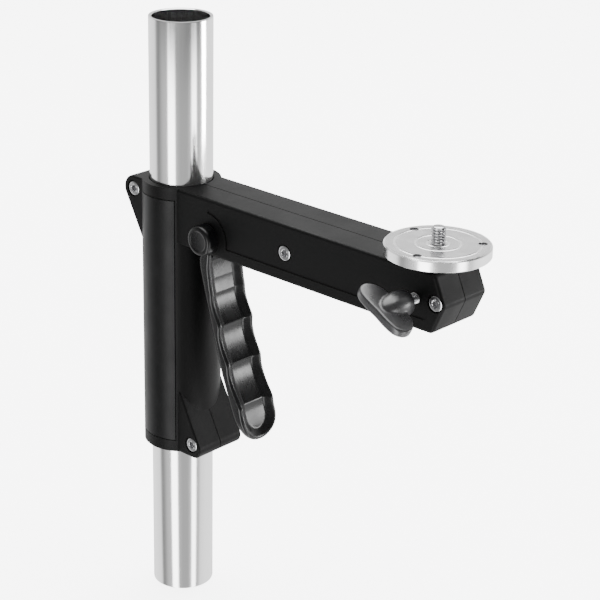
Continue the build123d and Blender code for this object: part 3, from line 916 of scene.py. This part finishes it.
class ThreadRecipe(Recipe):
    """A right-hand screw thread as a closed rod, its lower end at the given point."""

    FLANK_SLOPE = 1.6
    CREST_SHARE = 0.45

    def __init__(self, segments: int = 48, rows: int = 260) -> None:
        """Write the group.

        Args:
            segments: Steps round the axis.
            rows: Steps along it.
        """
        super().__init__("screw_thread", ["Radius", "Depth", "Pitch", "Length", "Chamfer"])
        grid, angle, row = self.polar_grid(segments, rows)
        margin = 1.0 / (rows - 1)
        share = self.math("DIVIDE", self.math("SUBTRACT", row, margin), 1.0 - 2 * margin)
        along = self.math("MULTIPLY", self.clamped(share), self.size("Length"))
        turns = self.math("DIVIDE", along, self.size("Pitch"))
        wave = self.zigzag(self.math("SUBTRACT", turns, angle))
        flank = self.clamped(self.math("MULTIPLY_ADD", wave, self.FLANK_SLOPE, -self.CREST_SHARE))
        ridge = self.math("SUBTRACT", self.size("Radius"), self.math("MULTIPLY", self.size("Depth"), flank))
        left = self.math("SUBTRACT", self.size("Length"), along)
        cut = self.math("MAXIMUM", self.math("SUBTRACT", self.size("Chamfer"), left), 0.0)
        cap = self.math("SUBTRACT", self.size("Radius"), cut)
        radius = self.math("MINIMUM", ridge, cap)
        inside = self.math("MULTIPLY", self.math("GREATER_THAN", row, margin / 2),
                           self.math("LESS_THAN", row, 1.0 - margin / 2))
        self.finish(self.wrap(grid, angle, self.math("MULTIPLY", radius, inside), along))


class RowShape(Enum):
    """How a row of a screw's surface runs round the axis."""

    ROUND = 0.0
    HEXAGON = 1.0
    KNURLED = 2.0


class SocketScrewRecipe(Recipe):
    """A socket-head screw with a knurled head, its head's face at the given point and facing +Z."""

    SIZES = ("Head", "Height", "Edge", "Socket", "Socket Depth", "Shank", "Length", "Knurl")

    def __init__(self, knurls: int = 30, fineness: int = 4) -> None:
        """Write the group.

        Args:
            knurls: Grooves round the head.
            fineness: Steps for each groove.
        """
        super().__init__("socket_screw", self.SIZES)
        plain, hexed, knurl = RowShape.ROUND, RowShape.HEXAGON, RowShape.KNURLED
        # Each row: its radius and its height as weights of the named sizes, and how it runs round.
        rows: list[tuple[dict[str, float], dict[str, float], RowShape]] = [
            ({}, {"Socket Depth": -1.15}, plain),
            ({"Socket": 0.5}, {"Socket Depth": -1.0}, hexed),
            ({"Socket": 0.5}, {"Edge": -0.4}, hexed),
            ({"Socket": 0.61}, {}, plain),
            ({"Head": 0.93, "Edge": -1.0}, {}, plain),
            ({"Head": 1.0, "Edge": -0.9}, {"Edge": -0.1}, plain),
            ({"Head": 1.0, "Edge": -0.3}, {"Edge": -0.45}, plain),
            ({"Head": 1.0}, {"Edge": -1.1}, knurl),
            ({"Head": 1.0}, {"Height": -0.97}, knurl),
            ({"Head": 0.96}, {"Height": -1.0}, plain),
            ({"Shank": 1.0}, {"Height": -1.0}, plain),
            ({"Shank": 1.0}, {"Length": -0.985}, plain),
            ({"Shank": 0.8}, {"Length": -1.0}, plain),
            ({}, {"Length": -1.0}, plain),
        ]
        grid, angle, row = self.polar_grid(knurls * fineness, len(rows))
        index = self.math("ROUND", self.math("MULTIPLY", row, float(len(rows) - 1)))
        reach = self.pick(index, [self.total(weights) for weights, _, _ in rows])
        height = self.pick(index, [self.total(weights) for _, weights, _ in rows])
        shapes = self.pick(index, [shape.value for _, _, shape in rows])
        sixth = math.tau / 6
        swing = self.math("MODULO", self.math("MULTIPLY", angle, math.tau), sixth)
        swing = self.math("SUBTRACT", swing, sixth / 2)
        hexagon = self.math("DIVIDE", reach, self.math("COSINE", swing))
        groove = self.zigzag(self.math("MULTIPLY", angle, float(knurls)))
        knurled = self.math("SUBTRACT", reach, self.math("MULTIPLY", groove, self.size("Knurl")))
        is_hexagon = self.math("COMPARE", shapes, hexed.value, 0.1)
        is_knurled = self.math("COMPARE", shapes, knurl.value, 0.1)
        radius = self.mix(is_knurled, self.mix(is_hexagon, reach, hexagon), knurled)
        self.finish(self.wrap(grid, angle, radius, height))

    def pick(self, index: Socket, values: Sequence[Socket | float]) -> Socket:
        """Choose the value of a row.

        Args:
            index: The row's number.
            values: One value for each row.

        Returns:
            The chosen value.
        """
        node = self.tree.nodes.new("GeometryNodeIndexSwitch")
        node.data_type = "FLOAT"
        while len(node.index_switch_items) < len(values):
            node.index_switch_items.new()
        self.tree.links.new(index, node.inputs[0])
        for target, value in zip(list(node.inputs)[1:], values):
            if isinstance(value, bpy.types.NodeSocket):
                self.tree.links.new(value, target)
            else:
                target.default_value = value
        return node.outputs[0]

    def mix(self, factor: Socket, first: Socket, second: Socket) -> Socket:
        """Blend two numbers by a factor."""
        node = self.tree.nodes.new("ShaderNodeMix")
        for target, source in ((node.inputs[0], factor), (node.inputs[2], first), (node.inputs[3], second)):
            self.tree.links.new(source, target)
        return node.outputs[0]


# --------------------------------------------------------------------------- sub-assemblies


@dataclass
class Column:
    """The bright tube that the carriage runs on."""

    radius: float
    length: float
    wall: float = 1.5 * MM
    lip: float = 0.35 * MM
    segments: int = 160

    def make(self, shop: Workshop) -> None:
        """Turn the tube, with its ends broken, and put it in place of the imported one."""
        inner, outer, lip, top = self.radius - self.wall, self.radius, self.lip, self.length
        side, end = outer - 0.3 * lip, 0.1 * lip
        outline = [(outer, lip), (outer, top - lip), (side, top - end), (outer - lip, top),
                   (inner + lip, top), (inner, top - lip), (inner, lip), (inner + lip, 0.0),
                   (outer - lip, 0.0), (side, end)]
        mesh = Skin().turn(outline, Frame(Vector(), UP, EAST), self.segments, joined=True).mesh("column")
        shop.piece(mesh, "drawn_column", Body.COLUMN, Slot.COLUMN, ["column_tube"], crease=32.0)


@dataclass
class PivotCaps:
    """The two round caps on the lever's pivot."""

    centre: Vector
    arm_half_width: float
    radius: float = 7.2 * MM
    height: float = 6.1 * MM
    edge: float = 1.9 * MM
    dish_radius: float = 4.9 * MM
    dish: float = 0.28 * MM
    dish_slope: float = 0.15 * MM
    dish_round: float = 0.5 * MM
    sunk: float = 0.4 * MM
    segments: int = 72

    def outline(self) -> list[Pair]:
        """A cap's section: radius and height over the arm's side, in metres."""
        r, h, rim = self.radius, self.height, self.dish_radius
        top = rounded((r, h), (r, 0.0), (0.0, h), self.edge, 8)
        return [(0.0, -self.sunk), (r, -self.sunk), (r, 0.0), *top, (rim + self.dish_slope, h),
                (rim - self.dish_slope, h - self.dish * 0.8), (rim - self.dish_round, h - self.dish),
                (0.0, h - self.dish)]

    def make(self, shop: Workshop) -> None:
        """Turn both caps."""
        for side, end in ((-1.0, "front"), (1.0, "rear")):
            origin = Vector((self.centre.x, side * self.arm_half_width, self.centre.z))
            skin = Skin().turn(self.outline(), Frame(origin, NORTH * side, UP), self.segments)
            mesh = skin.mesh(f"{end}_cap")
            shop.piece(mesh, f"{end}_cap", Body.CARRIAGE, Slot.CAP, [f"{end}_pivot_cap"], crease=40.0)


@dataclass
class SqueezeLever:
    """The squeeze handle: a strip of finger hollows between two rims, with a hub on the pivot.

    All places are metres from the pivot, X out from the column and Z up.
    """

    pivot: Vector
    half_width: float = 11.8 * MM
    strip_half_width: float = 6.3 * MM
    rim_rise: float = 2.5 * MM
    rim_round: float = 1.7 * MM
    back_round: float = 2.4 * MM
    neck_half_width: float = 9.3 * MM
    hub_radius: float = 7.4 * MM
    hub_end: float = 4.1 * MM
    pin_radius: float = 3.05 * MM
    top: float = -9.6 * MM
    toe: float = -99.6 * MM
    hub_bevel: float = 0.5 * MM
    hub_segments: int = 64
    rows: int = 190
    toe_rows: int = 40
    across: int = 44
    side_steps: int = 4
    hollow_steps: int = 26
    hollow_lean: float = 0.8
    rim_reach: int = 3
    rim_ease: float = 0.35
    crests: tuple[Pair, ...] = ((-4.0, -9.6), (-4.6, -16.0), (-3.6, -22.9), (-2.2, -30.0), (3.35, -44.2),
                                (9.17, -62.4), (17.0, -81.0))
    hollows: tuple[float, ...] = (0.0, 0.1, 0.2, 1.35, 2.2, 2.3)
    toe_line: tuple[Pair, ...] = ((17.6, -85.0), (19.2, -89.9), (20.3, -94.7), (20.3, -99.6))
    back_line: tuple[Pair, ...] = ((-6.0, -9.6), (-8.4, -10.9), (-9.0, -15.5), (-5.9, -27.2),
                                   (0.4, -48.0), (5.4, -64.9), (12.6, -83.1), (17.2, -93.0), (18.6, -99.6))
    neck_line: tuple[Pair, ...] = ((-8.6, -13.5), (-3.2, -13.5), (2.0, -6.2), (-6.9, -3.2))

    def floor_table(self) -> list[Pair]:
        """Height and outward place of the strip's surface, from the top down, in metres."""
        table: list[Pair] = []
        for (x0, z0), (x1, z1), depth in zip(self.crests, self.crests[1:], self.hollows):
            run = math.hypot(x1 - x0, z1 - z0)
            for step in range(self.hollow_steps):
                share = step / self.hollow_steps
                bow = depth * math.sin(math.pi * share**self.hollow_lean) ** self.hollow_lean
                x = x0 + (x1 - x0) * share + (z1 - z0) / run * bow
                z = z0 + (z1 - z0) * share
                table.append((z * MM, x * MM))
        last = smooth_line([self.crests[-1], *self.toe_line], 8)
        return table + [(z * MM, x * MM) for x, z in last]

    def back_table(self) -> list[Pair]:
        """Height and outward place of the lever's back, from the top down, in metres."""
        return [(z * MM, x * MM) for x, z in smooth_line(self.back_line, 10)]

    def rim_table(self, floor: list[Pair]) -> list[Pair]:
        """The strip's line with its crests softened, for the rims."""
        soft = []
        for index, (z, _) in enumerate(floor):
            near = [x for _, x in floor[max(0, index - self.rim_reach):index + self.rim_reach + 1]]
            soft.append((z, sum(near) / len(near)))
        return soft

    @property
    def toe_centre(self) -> float:
        """Height of the centre of the lever's round end."""
        return self.toe + self.half_width

    def inset(self, y: float, z: float) -> float:
        """How far a place lies inside the lever's outline as seen from the front."""
        below = min(0.0, z - self.toe_centre)
        return self.half_width - math.hypot(y, below)

    def rise(self, inset: float) -> float:
        """Height of the front surface over the strip at a distance inside the outline."""
        slope_end = self.half_width - self.strip_half_width
        if inset < self.rim_round:
            share = 1.0 - inset / self.rim_round
            return self.rim_rise - self.rim_round * (1.0 - math.sqrt(max(0.0, 1.0 - share * share)))
        if inset < slope_end:
            share = (inset - self.rim_round) / (slope_end - self.rim_round)
            ease = share * share * (3.0 - 2.0 * share)
            return self.rim_rise * (1.0 - (self.rim_ease * ease + (1.0 - self.rim_ease) * share))
        return 0.0

    def ring(self, z: float, floor: list[Pair], rim: list[Pair], back: list[Pair]) -> list[Vector]:
        """One level ring round the handle.

        Args:
            z: Its height from the pivot.
            floor: The strip's line.
            rim: The rims' line.
            back: The back's line.

        Returns:
            The points, in part coordinates.
        """
        below = min(0.0, z - self.toe_centre)
        half = math.sqrt(max(0.0, self.half_width**2 - below**2))
        strip_x, rim_x, back_x = between(floor, z), between(rim, z), between(back, z)
        shares = [math.sin(math.pi / 2 * (2 * step / self.across - 1)) for step in range(self.across + 1)]
        front, rear = [], []
        for share in shares:
            inset = self.inset(share * half, z)
            lift = self.rise(inset)
            mix = min(1.0, max(0.0, lift / self.rim_rise))
            front.append((strip_x + (rim_x - strip_x) * mix + lift, share * half))
            round_in = self.back_round - min(self.back_round, inset)
            tuck = self.back_round - math.sqrt(max(0.0, self.back_round**2 - round_in**2))
            rear.append((back_x + tuck, share * half))
        cuts = [step / self.side_steps for step in range(1, self.side_steps)]
        right = [(front[-1][0] + (rear[-1][0] - front[-1][0]) * cut, half) for cut in cuts]
        left = [(rear[0][0] + (front[0][0] - rear[0][0]) * cut, -half) for cut in cuts]
        loop = front + right + rear[::-1] + left
        return [self.pivot + Vector((x, y, z)) for x, y in loop]

    def handle(self, skin: Skin) -> None:
        """Lay the handle below the arm."""
        floor, back = self.floor_table(), self.back_table()
        rim = self.rim_table(floor)
        centre = self.toe_centre
        levels = [self.top + (centre - self.top) * step / self.rows for step in range(self.rows)]
        turns = [math.pi / 2 * step / self.toe_rows for step in range(self.toe_rows + 1)]
        levels += [centre - self.half_width * math.sin(turn) for turn in turns]
        skin.loft([self.ring(z, floor, rim, back) for z in levels])

    def hub(self, skin: Skin) -> None:
        """Lay the hub, which turns on the pivot pin, and the neck under it."""
        place = Frame(self.pivot - NORTH * self.neck_half_width, NORTH, UP)
        long, bevel = self.neck_half_width + self.hub_end, self.hub_bevel
        outer, inner = self.hub_radius, self.pin_radius
        outline = [(inner, 0.0), (outer - bevel, 0.0), (outer, bevel), (outer, long - bevel),
                   (outer - bevel, long), (inner, long)]
        skin.turn(outline, place, self.hub_segments, joined=True)
        rings = []
        for side in (-1.0, 1.0):
            y = self.neck_half_width * side
            rings.append([self.pivot + Vector((x * MM, y, z * MM)) for x, z in self.neck_line])
        skin.loft(rings)

    def make(self, shop: Workshop) -> None:
        """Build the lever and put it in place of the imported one."""
        skin = Skin()
        self.handle(skin)
        self.hub(skin)
        shop.piece(skin.mesh("lever"), "squeeze_lever", Body.HANDLE, Slot.LEVER, ["lever"], crease=34.0)


@dataclass
class WingScrew:
    """The two-winged knob and its threaded shank."""

    axis_x: float
    axis_z: float
    base: float = 19.5 * MM
    tilt: float = 28.7
    radius: float = 2.5 * MM
    pitch: float = 0.8 * MM
    thread_depth: float = 0.42 * MM
    chamfer: float = 0.3 * MM
    inner_end: float = 8.55 * MM
    into_knob: float = 2.0 * MM
    voxel: float = 0.3 * MM
    softening: int = 12
    half_thickness: float = 2.0 * MM
    edge: float = 0.9 * MM
    edge_steps: int = 5
    hub_segments: int = 64
    hub_line: tuple[Pair, ...] = ((0.0, 0.0), (4.3, 0.0), (5.3, 0.6), (5.9, 3.0), (6.0, 6.0),
                                  (5.6, 9.5), (4.5, 13.0), (2.7, 15.8), (0.0, 17.0))
    plate_line: tuple[Pair, ...] = ((0.0, 6.4), (4.5, 6.0), (9.0, 6.7), (12.4, 8.8), (14.5, 12.4),
                                    (13.9, 16.2), (10.8, 18.8), (5.6, 19.5), (0.0, 19.3))

    def knob_frame(self) -> Frame:
        """The knob's axes: out along -Y, its wings tilted about that."""
        lean = math.radians(self.tilt)
        start = Vector((math.cos(lean), 0.0, -math.sin(lean)))
        return Frame(Vector((self.axis_x, -self.base, self.axis_z)), -NORTH, start)

    def plate(self, skin: Skin) -> None:
        """Lay the two wings as one flat plate with rounded edges.

        Args:
            skin: The skin to lay it in.
        """
        place = self.knob_frame()
        normal = place.axis.cross(place.start)
        mirrored = [(-x, y) for x, y in reversed(self.plate_line[1:-1])]
        line = smooth_line([*self.plate_line, *mirrored], 6, closed=True)
        middle = Vector((0.0, sum(y for _, y in line) / len(line)))
        layers = [(math.inf, self.half_thickness)]
        for step in range(self.edge_steps + 1):
            turn = math.pi / 2 * step / self.edge_steps
            thick = self.half_thickness - self.edge * (1.0 - math.cos(turn))
            layers.append((self.edge * (1.0 - math.sin(turn)), thick))
        layers += [(inset, -thick) for inset, thick in reversed(layers)]
        rings = []
        for inset, thick in layers:
            ring = []
            for point in line:
                away = (Vector(point) - middle) * MM
                spot = away * max(0.01, 1.0 - inset / away.length) + middle * MM
                flat = place.origin + place.start * spot.x + place.axis * spot.y
                ring.append(flat + normal * thick)
            rings.append(ring)
        skin.loft(rings)

    def knob_mesh(self) -> bpy.types.Mesh:
        """Join hub and plate into one blended shape.

        Returns:
            The mesh.
        """
        skin = Skin()
        hub = [(max(r, 0.0) * MM, h * MM) for r, h in smooth_line(self.hub_line, 5)]
        skin.turn(hub, self.knob_frame(), self.hub_segments)
        self.plate(skin)
        holder = bpy.data.objects.new("knob_blank", skin.mesh("knob_blank"))
        bpy.context.scene.collection.objects.link(holder)
        remesh = holder.modifiers.new("join", "REMESH")
        remesh.mode = "VOXEL"
        remesh.voxel_size = self.voxel
        soften = holder.modifiers.new("soften", "SMOOTH")
        soften.factor = 0.5
        soften.iterations = self.softening
        bpy.context.view_layer.update()
        evaluated = holder.evaluated_get(bpy.context.evaluated_depsgraph_get())
        mesh = bpy.data.meshes.new_from_object(evaluated)
        bpy.data.objects.remove(holder)
        return mesh

    def make(self, shop: Workshop, thread: ThreadRecipe) -> None:
        """Build knob and shank."""
        knob = self.knob_mesh()
        shop.piece(knob, "wing_knob_shape", Body.WING, Slot.KNOB, ["wing_knob"], crease=180.0)
        length = self.base + self.into_knob - self.inner_end
        start = Vector((self.axis_x, -self.inner_end, self.axis_z))
        sizes = {"Radius": self.radius, "Depth": self.thread_depth, "Pitch": self.pitch,
                 "Length": length, "Chamfer": self.chamfer}
        finish = shop.palette.materials[Slot.FASTENER]
        mesh = thread.cast([start], (math.pi / 2, 0.0, 0.0), finish, sizes)
        shop.piece(mesh, "wing_screw_thread", Body.WING, Slot.FASTENER, ["wing_screw"], crease=50.0)


@dataclass(frozen=True)
class ScrewSizes:
    """Sizes of a socket screw in millimetres: head and shank are radii, socket is across flats."""

    head: float
    height: float
    edge: float
    socket: float
    socket_depth: float
    shank: float
    length: float
    knurl: float = 0.0

    def inputs(self) -> dict[str, float]:
        """The sizes in metres, by the names of the recipe's inputs."""
        return {name: size * MM for name, size in zip(SocketScrewRecipe.SIZES, astuple(self))}


@dataclass
class Platform:
    """The camera platform's threaded stud and set screws."""

    axis_x: float
    face: float
    stud_radius: float = 3.175 * MM
    stud_length: float = 7.3 * MM
    pitch: float = 1.27 * MM
    thread_depth: float = 0.42 * MM
    chamfer: float = 0.7 * MM
    sunk: float = 0.3 * MM
    screw_count: int = 3
    screw_circle: float = 18.8 * MM
    screw_angle: float = 41.6
    screw_recess: float = 1.0 * MM
    set_screw: ScrewSizes = ScrewSizes(head=1.95, height=2.0, edge=0.2, socket=2.0, socket_depth=1.4,
                                       shank=1.9, length=3.6)

    def make(self, shop: Workshop, thread: ThreadRecipe, screws: SocketScrewRecipe) -> None:
        """Build the stud and the set screws."""
        finish = shop.palette.materials[Slot.FASTENER]
        sizes = {"Radius": self.stud_radius, "Depth": self.thread_depth, "Pitch": self.pitch,
                 "Length": self.stud_length + self.sunk, "Chamfer": self.chamfer}
        root = Vector((self.axis_x, 0.0, self.face - self.sunk))
        mesh = thread.cast([root], (0.0, 0.0, 0.0), finish, sizes)
        shop.piece(mesh, "stud_thread", Body.PLATFORM, Slot.FASTENER, ["camera_stud"], crease=50.0)
        places = []
        for step in range(self.screw_count):
            angle = math.radians(self.screw_angle + 360.0 * step / self.screw_count)
            x, y = self.screw_circle * math.cos(angle), self.screw_circle * math.sin(angle)
            places.append(Vector((self.axis_x + x, y, self.face - self.screw_recess)))
        steel = shop.palette.materials[Slot.STEEL]
        mesh = screws.cast(places, (0.0, 0.0, 0.0), steel, self.set_screw.inputs())
        shop.piece(mesh, "set_screws", Body.PLATFORM, Slot.STEEL, ["platform_set_screws"], crease=30.0)


@dataclass
class ShellScrews:
    """The four socket-head screws that hold the shells together.

    A screw's site is its X and its height over the arm's upper face, both in millimetres.
    """

    arm_half_width: float
    arm_top: float
    recess: float = 0.2 * MM
    upper_ear: Pair = (-17.9, -6.8)
    lower_ear: Pair = (21.0, -128.7)
    arm_middle: Pair = (80.29, -13.5)
    nose: Pair = (166.2, -12.9)
    screw: ScrewSizes = ScrewSizes(head=3.5, height=4.0, edge=0.45, socket=3.0, socket_depth=2.0,
                                   shank=2.0, length=27.6, knurl=0.12)

    def make(self, shop: Workshop, screws: SocketScrewRecipe) -> None:
        """Build the screws."""
        y = self.recess - self.arm_half_width
        sites = (self.upper_ear, self.lower_ear, self.arm_middle, self.nose)
        places = [Vector((x * MM, y, self.arm_top + z * MM)) for x, z in sites]
        finish = shop.palette.materials[Slot.FASTENER]
        mesh = screws.cast(places, (math.pi / 2, 0.0, 0.0), finish, self.screw.inputs())
        shop.piece(mesh, "socket_screws", Body.CARRIAGE, Slot.FASTENER, ["shell_screws"], crease=30.0)


# --------------------------------------------------------------------------- studio


@dataclass(frozen=True)
class AreaLight:
    """One soft light that looks at the arm."""

    name: str
    place: Point
    size: Pair
    power: float
    shows: bool = False

    def make(self, target: Vector) -> None:
        """Add the light.

        Args:
            target: The point that it faces.
        """
        data = bpy.data.lights.new(self.name, "AREA")
        data.shape = "RECTANGLE"
        data.size, data.size_y = self.size
        data.energy = self.power
        light = bpy.data.objects.new(self.name, data)
        light.location = self.place
        light.visible_glossy = self.shows
        light.rotation_euler = (target - Vector(self.place)).to_track_quat("-Z", "Y").to_euler()
        bpy.context.scene.collection.objects.link(light)


@dataclass
class Studio:
    """Camera, floor and light."""

    azimuth: float = 42.453
    elevation: float = 21.858
    roll: float = 1.196
    distance: float = 839.41 * MM
    lens: float = 110.93
    aim_reach: float = 77.445 * MM
    aim_below_top: float = 40.5 * MM
    backdrop: float = 5.0
    floor_paint: FloorPaint = FloorPaint()
    floor_size: float = 12.0
    floor_gap: float = 0.2 * MM
    horizon: Pair = (-0.06, 0.08)
    lights: tuple[AreaLight, ...] = (
        AreaLight("side_softbox", (0.95, 0.88, 0.20), (0.40, 0.34), 9.0, shows=True),
        AreaLight("top_softbox", (-0.3, 0.5, 2.2), (2.6, 2.6), 150.0, shows=True),
    )
    # The room's brightness by compass angle from +X: upright panels below eye level, and the sky over them.
    panels: tuple[Pair, ...] = (
        (-180.0, 2.0), (-148.0, 1.7), (-137.0, 0.42), (-128.0, 0.36), (-112.0, 0.80), (-93.0, 1.0),
        (-89.0, 8.0), (-68.0, 8.0), (-63.0, 0.90), (-47.0, 0.62), (-22.0, 0.62), (-10.0, 1.1),
        (-4.0, 7.0), (9.0, 7.0), (14.0, 0.9), (22.0, 0.85), (34.0, 1.7), (60.0, 2.0), (132.0, 2.0),
        (180.0, 2.0),
    )
    sky: tuple[Pair, ...] = (
        (-180.0, 1.2), (-150.0, 0.6), (-130.0, 0.2), (-60.0, 0.5), (0.0, 0.2), (30.0, 0.06),
        (58.0, 0.06), (74.0, 0.9), (105.0, 1.3), (132.0, 1.2), (180.0, 1.2),
    )

    def build(self, carriage_top: float) -> None:
        """Make the camera first, then the floor, the surround and the lights.

        Args:
            carriage_top: Height of the arm's upper face, in metres.
        """
        target = Vector((self.aim_reach, 0.0, carriage_top - self.aim_below_top))
        self.camera(target)
        self.floor()
        self.surround()
        for light in self.lights:
            light.make(target)

    def camera(self, target: Vector) -> None:
        """Place the camera round the target.

        Args:
            target: The point in the middle of the picture.
        """
        azimuth, elevation = math.radians(self.azimuth), math.radians(self.elevation)
        back = Vector((math.sin(azimuth) * math.cos(elevation), -math.cos(azimuth) * math.cos(elevation),
                       math.sin(elevation)))
        data = bpy.data.cameras.new("camera")
        data.lens = self.lens
        data.sensor_width = 36.0
        camera = bpy.data.objects.new("camera", data)
        camera.location = target + back * self.distance
        turn = (-back).to_track_quat("-Z", "Y").to_matrix() @ Matrix.Rotation(math.radians(self.roll), 3, "Z")
        camera.rotation_euler = turn.to_euler()
        bpy.context.scene.collection.objects.link(camera)
        bpy.context.scene.camera = camera

    def floor(self) -> None:
        """A plain pale floor under the column's foot, kept out of the object's reflections."""
        mesh = bpy.data.meshes.new("floor")
        size, level = self.floor_size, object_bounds()[0].z - self.floor_gap
        corners = [(-size, -size, level), (size, -size, level), (size, size, level), (-size, size, level)]
        mesh.from_pydata(corners, [], [(0, 1, 2, 3)])
        mesh.materials.append(self.floor_paint.make("floor_paint"))
        floor = bpy.data.objects.new("floor", mesh)
        floor.visible_glossy = False
        bpy.context.scene.collection.objects.link(floor)
        floor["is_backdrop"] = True

    def surround(self) -> None:
        """A pale room of soft upright panels, which the camera sees as plain white."""
        world = bpy.data.worlds.new("room")
        world.use_nodes = True
        tree = world.node_tree
        background = tree.nodes["Background"]
        split = tree.nodes.new("ShaderNodeSeparateXYZ")
        tree.links.new(tree.nodes.new("ShaderNodeTexCoord").outputs["Generated"], split.inputs[0])
        compass = tree.nodes.new("ShaderNodeMath")
        compass.operation = "ARCTAN2"
        tree.links.new(split.outputs[1], compass.inputs[0])
        tree.links.new(split.outputs[0], compass.inputs[1])
        share = tree.nodes.new("ShaderNodeMapRange")
        share.inputs["From Min"].default_value = -math.pi
        share.inputs["From Max"].default_value = math.pi
        tree.links.new(compass.outputs[0], share.inputs["Value"])
        brightest = max(level for _, level in self.panels + self.sky)
        lower = self.ramp(tree, share.outputs["Result"], self.panels, brightest)
        upper = self.ramp(tree, share.outputs["Result"], self.sky, brightest)
        rise = tree.nodes.new("ShaderNodeMapRange")
        rise.interpolation_type = "SMOOTHSTEP"
        for name, value in zip(("From Min", "From Max"), self.horizon):
            rise.inputs[name].default_value = value
        tree.links.new(split.outputs[2], rise.inputs["Value"])
        room = self.blend(tree, rise.outputs["Result"], lower, upper)
        white = tree.nodes.new("ShaderNodeRGB").outputs[0]
        white.default_value = (self.backdrop / brightest,) * 3 + (1.0,)
        seen = self.blend(tree, tree.nodes.new("ShaderNodeLightPath").outputs["Is Camera Ray"], room, white)
        tree.links.new(seen, background.inputs["Color"])
        background.inputs["Strength"].default_value = brightest
        bpy.context.scene.world = world

    def ramp(self, tree: bpy.types.NodeTree, value: Socket, levels: Sequence[Pair], brightest: float
             ) -> Socket:
        """Brightness by compass angle.

        Args:
            tree: The world's node tree.
            value: The compass angle as a share of the full turn.
            levels: Angles in degrees and their brightness.
            brightest: The brightness that is written as 1.

        Returns:
            The brightness as a colour.
        """
        ramp = tree.nodes.new("ShaderNodeValToRGB")
        stops = ramp.color_ramp.elements
        for _ in levels[1:-1]:
            stops.new(0.5)
        for stop, (angle, level) in zip(stops, levels):
            stop.position = (angle + 180.0) / 360.0
            stop.color = (level / brightest,) * 3 + (1.0,)
        tree.links.new(value, ramp.inputs["Fac"])
        return ramp.outputs["Color"]

    def blend(self, tree: bpy.types.NodeTree, factor: Socket, first: Socket, second: Socket) -> Socket:
        """Mix two colours.

        Args:
            tree: The world's node tree.
            factor: How much of the second shows.
            first: Colour at 0.
            second: Colour at 1.

        Returns:
            The mixed colour.
        """
        mix = tree.nodes.new("ShaderNodeMix")
        mix.data_type = "RGBA"
        for name, source in (("Factor", factor), ("A", first), ("B", second)):
            tree.links.new(source, mix.inputs[name])
        return mix.outputs["Result"]


def main() -> None:
    """Build the studio and every piece from the sizes of the imported parts."""
    platform_low, platform_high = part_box("platform_disc")
    platform_middle = (platform_low + platform_high) / 2
    arm_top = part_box("front_shell")[1].z
    column_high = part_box("column_tube")[1]
    pin_low, pin_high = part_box("lever_pivot_pin")
    pivot = (pin_low + pin_high) / 2
    insert_low, insert_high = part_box("screw_insert")
    insert = (insert_low + insert_high) / 2
    half_arm = pin_high.y
    Studio().build(arm_top)
    palette = Palette(platform_middle)
    palette.dress_frame()
    shop = Workshop(palette)
    thread = ThreadRecipe()
    screws = SocketScrewRecipe()
    Column(column_high.x, column_high.z).make(shop)
    PivotCaps(pivot, half_arm).make(shop)
    SqueezeLever(Vector((pivot.x, 0.0, pivot.z))).make(shop)
    WingScrew(insert.x, insert.z).make(shop, thread)
    Platform(platform_middle.x, platform_high.z).make(shop, thread, screws)
    ShellScrews(half_arm, arm_top).make(shop, screws)


if __name__ == "__main__":
    main()
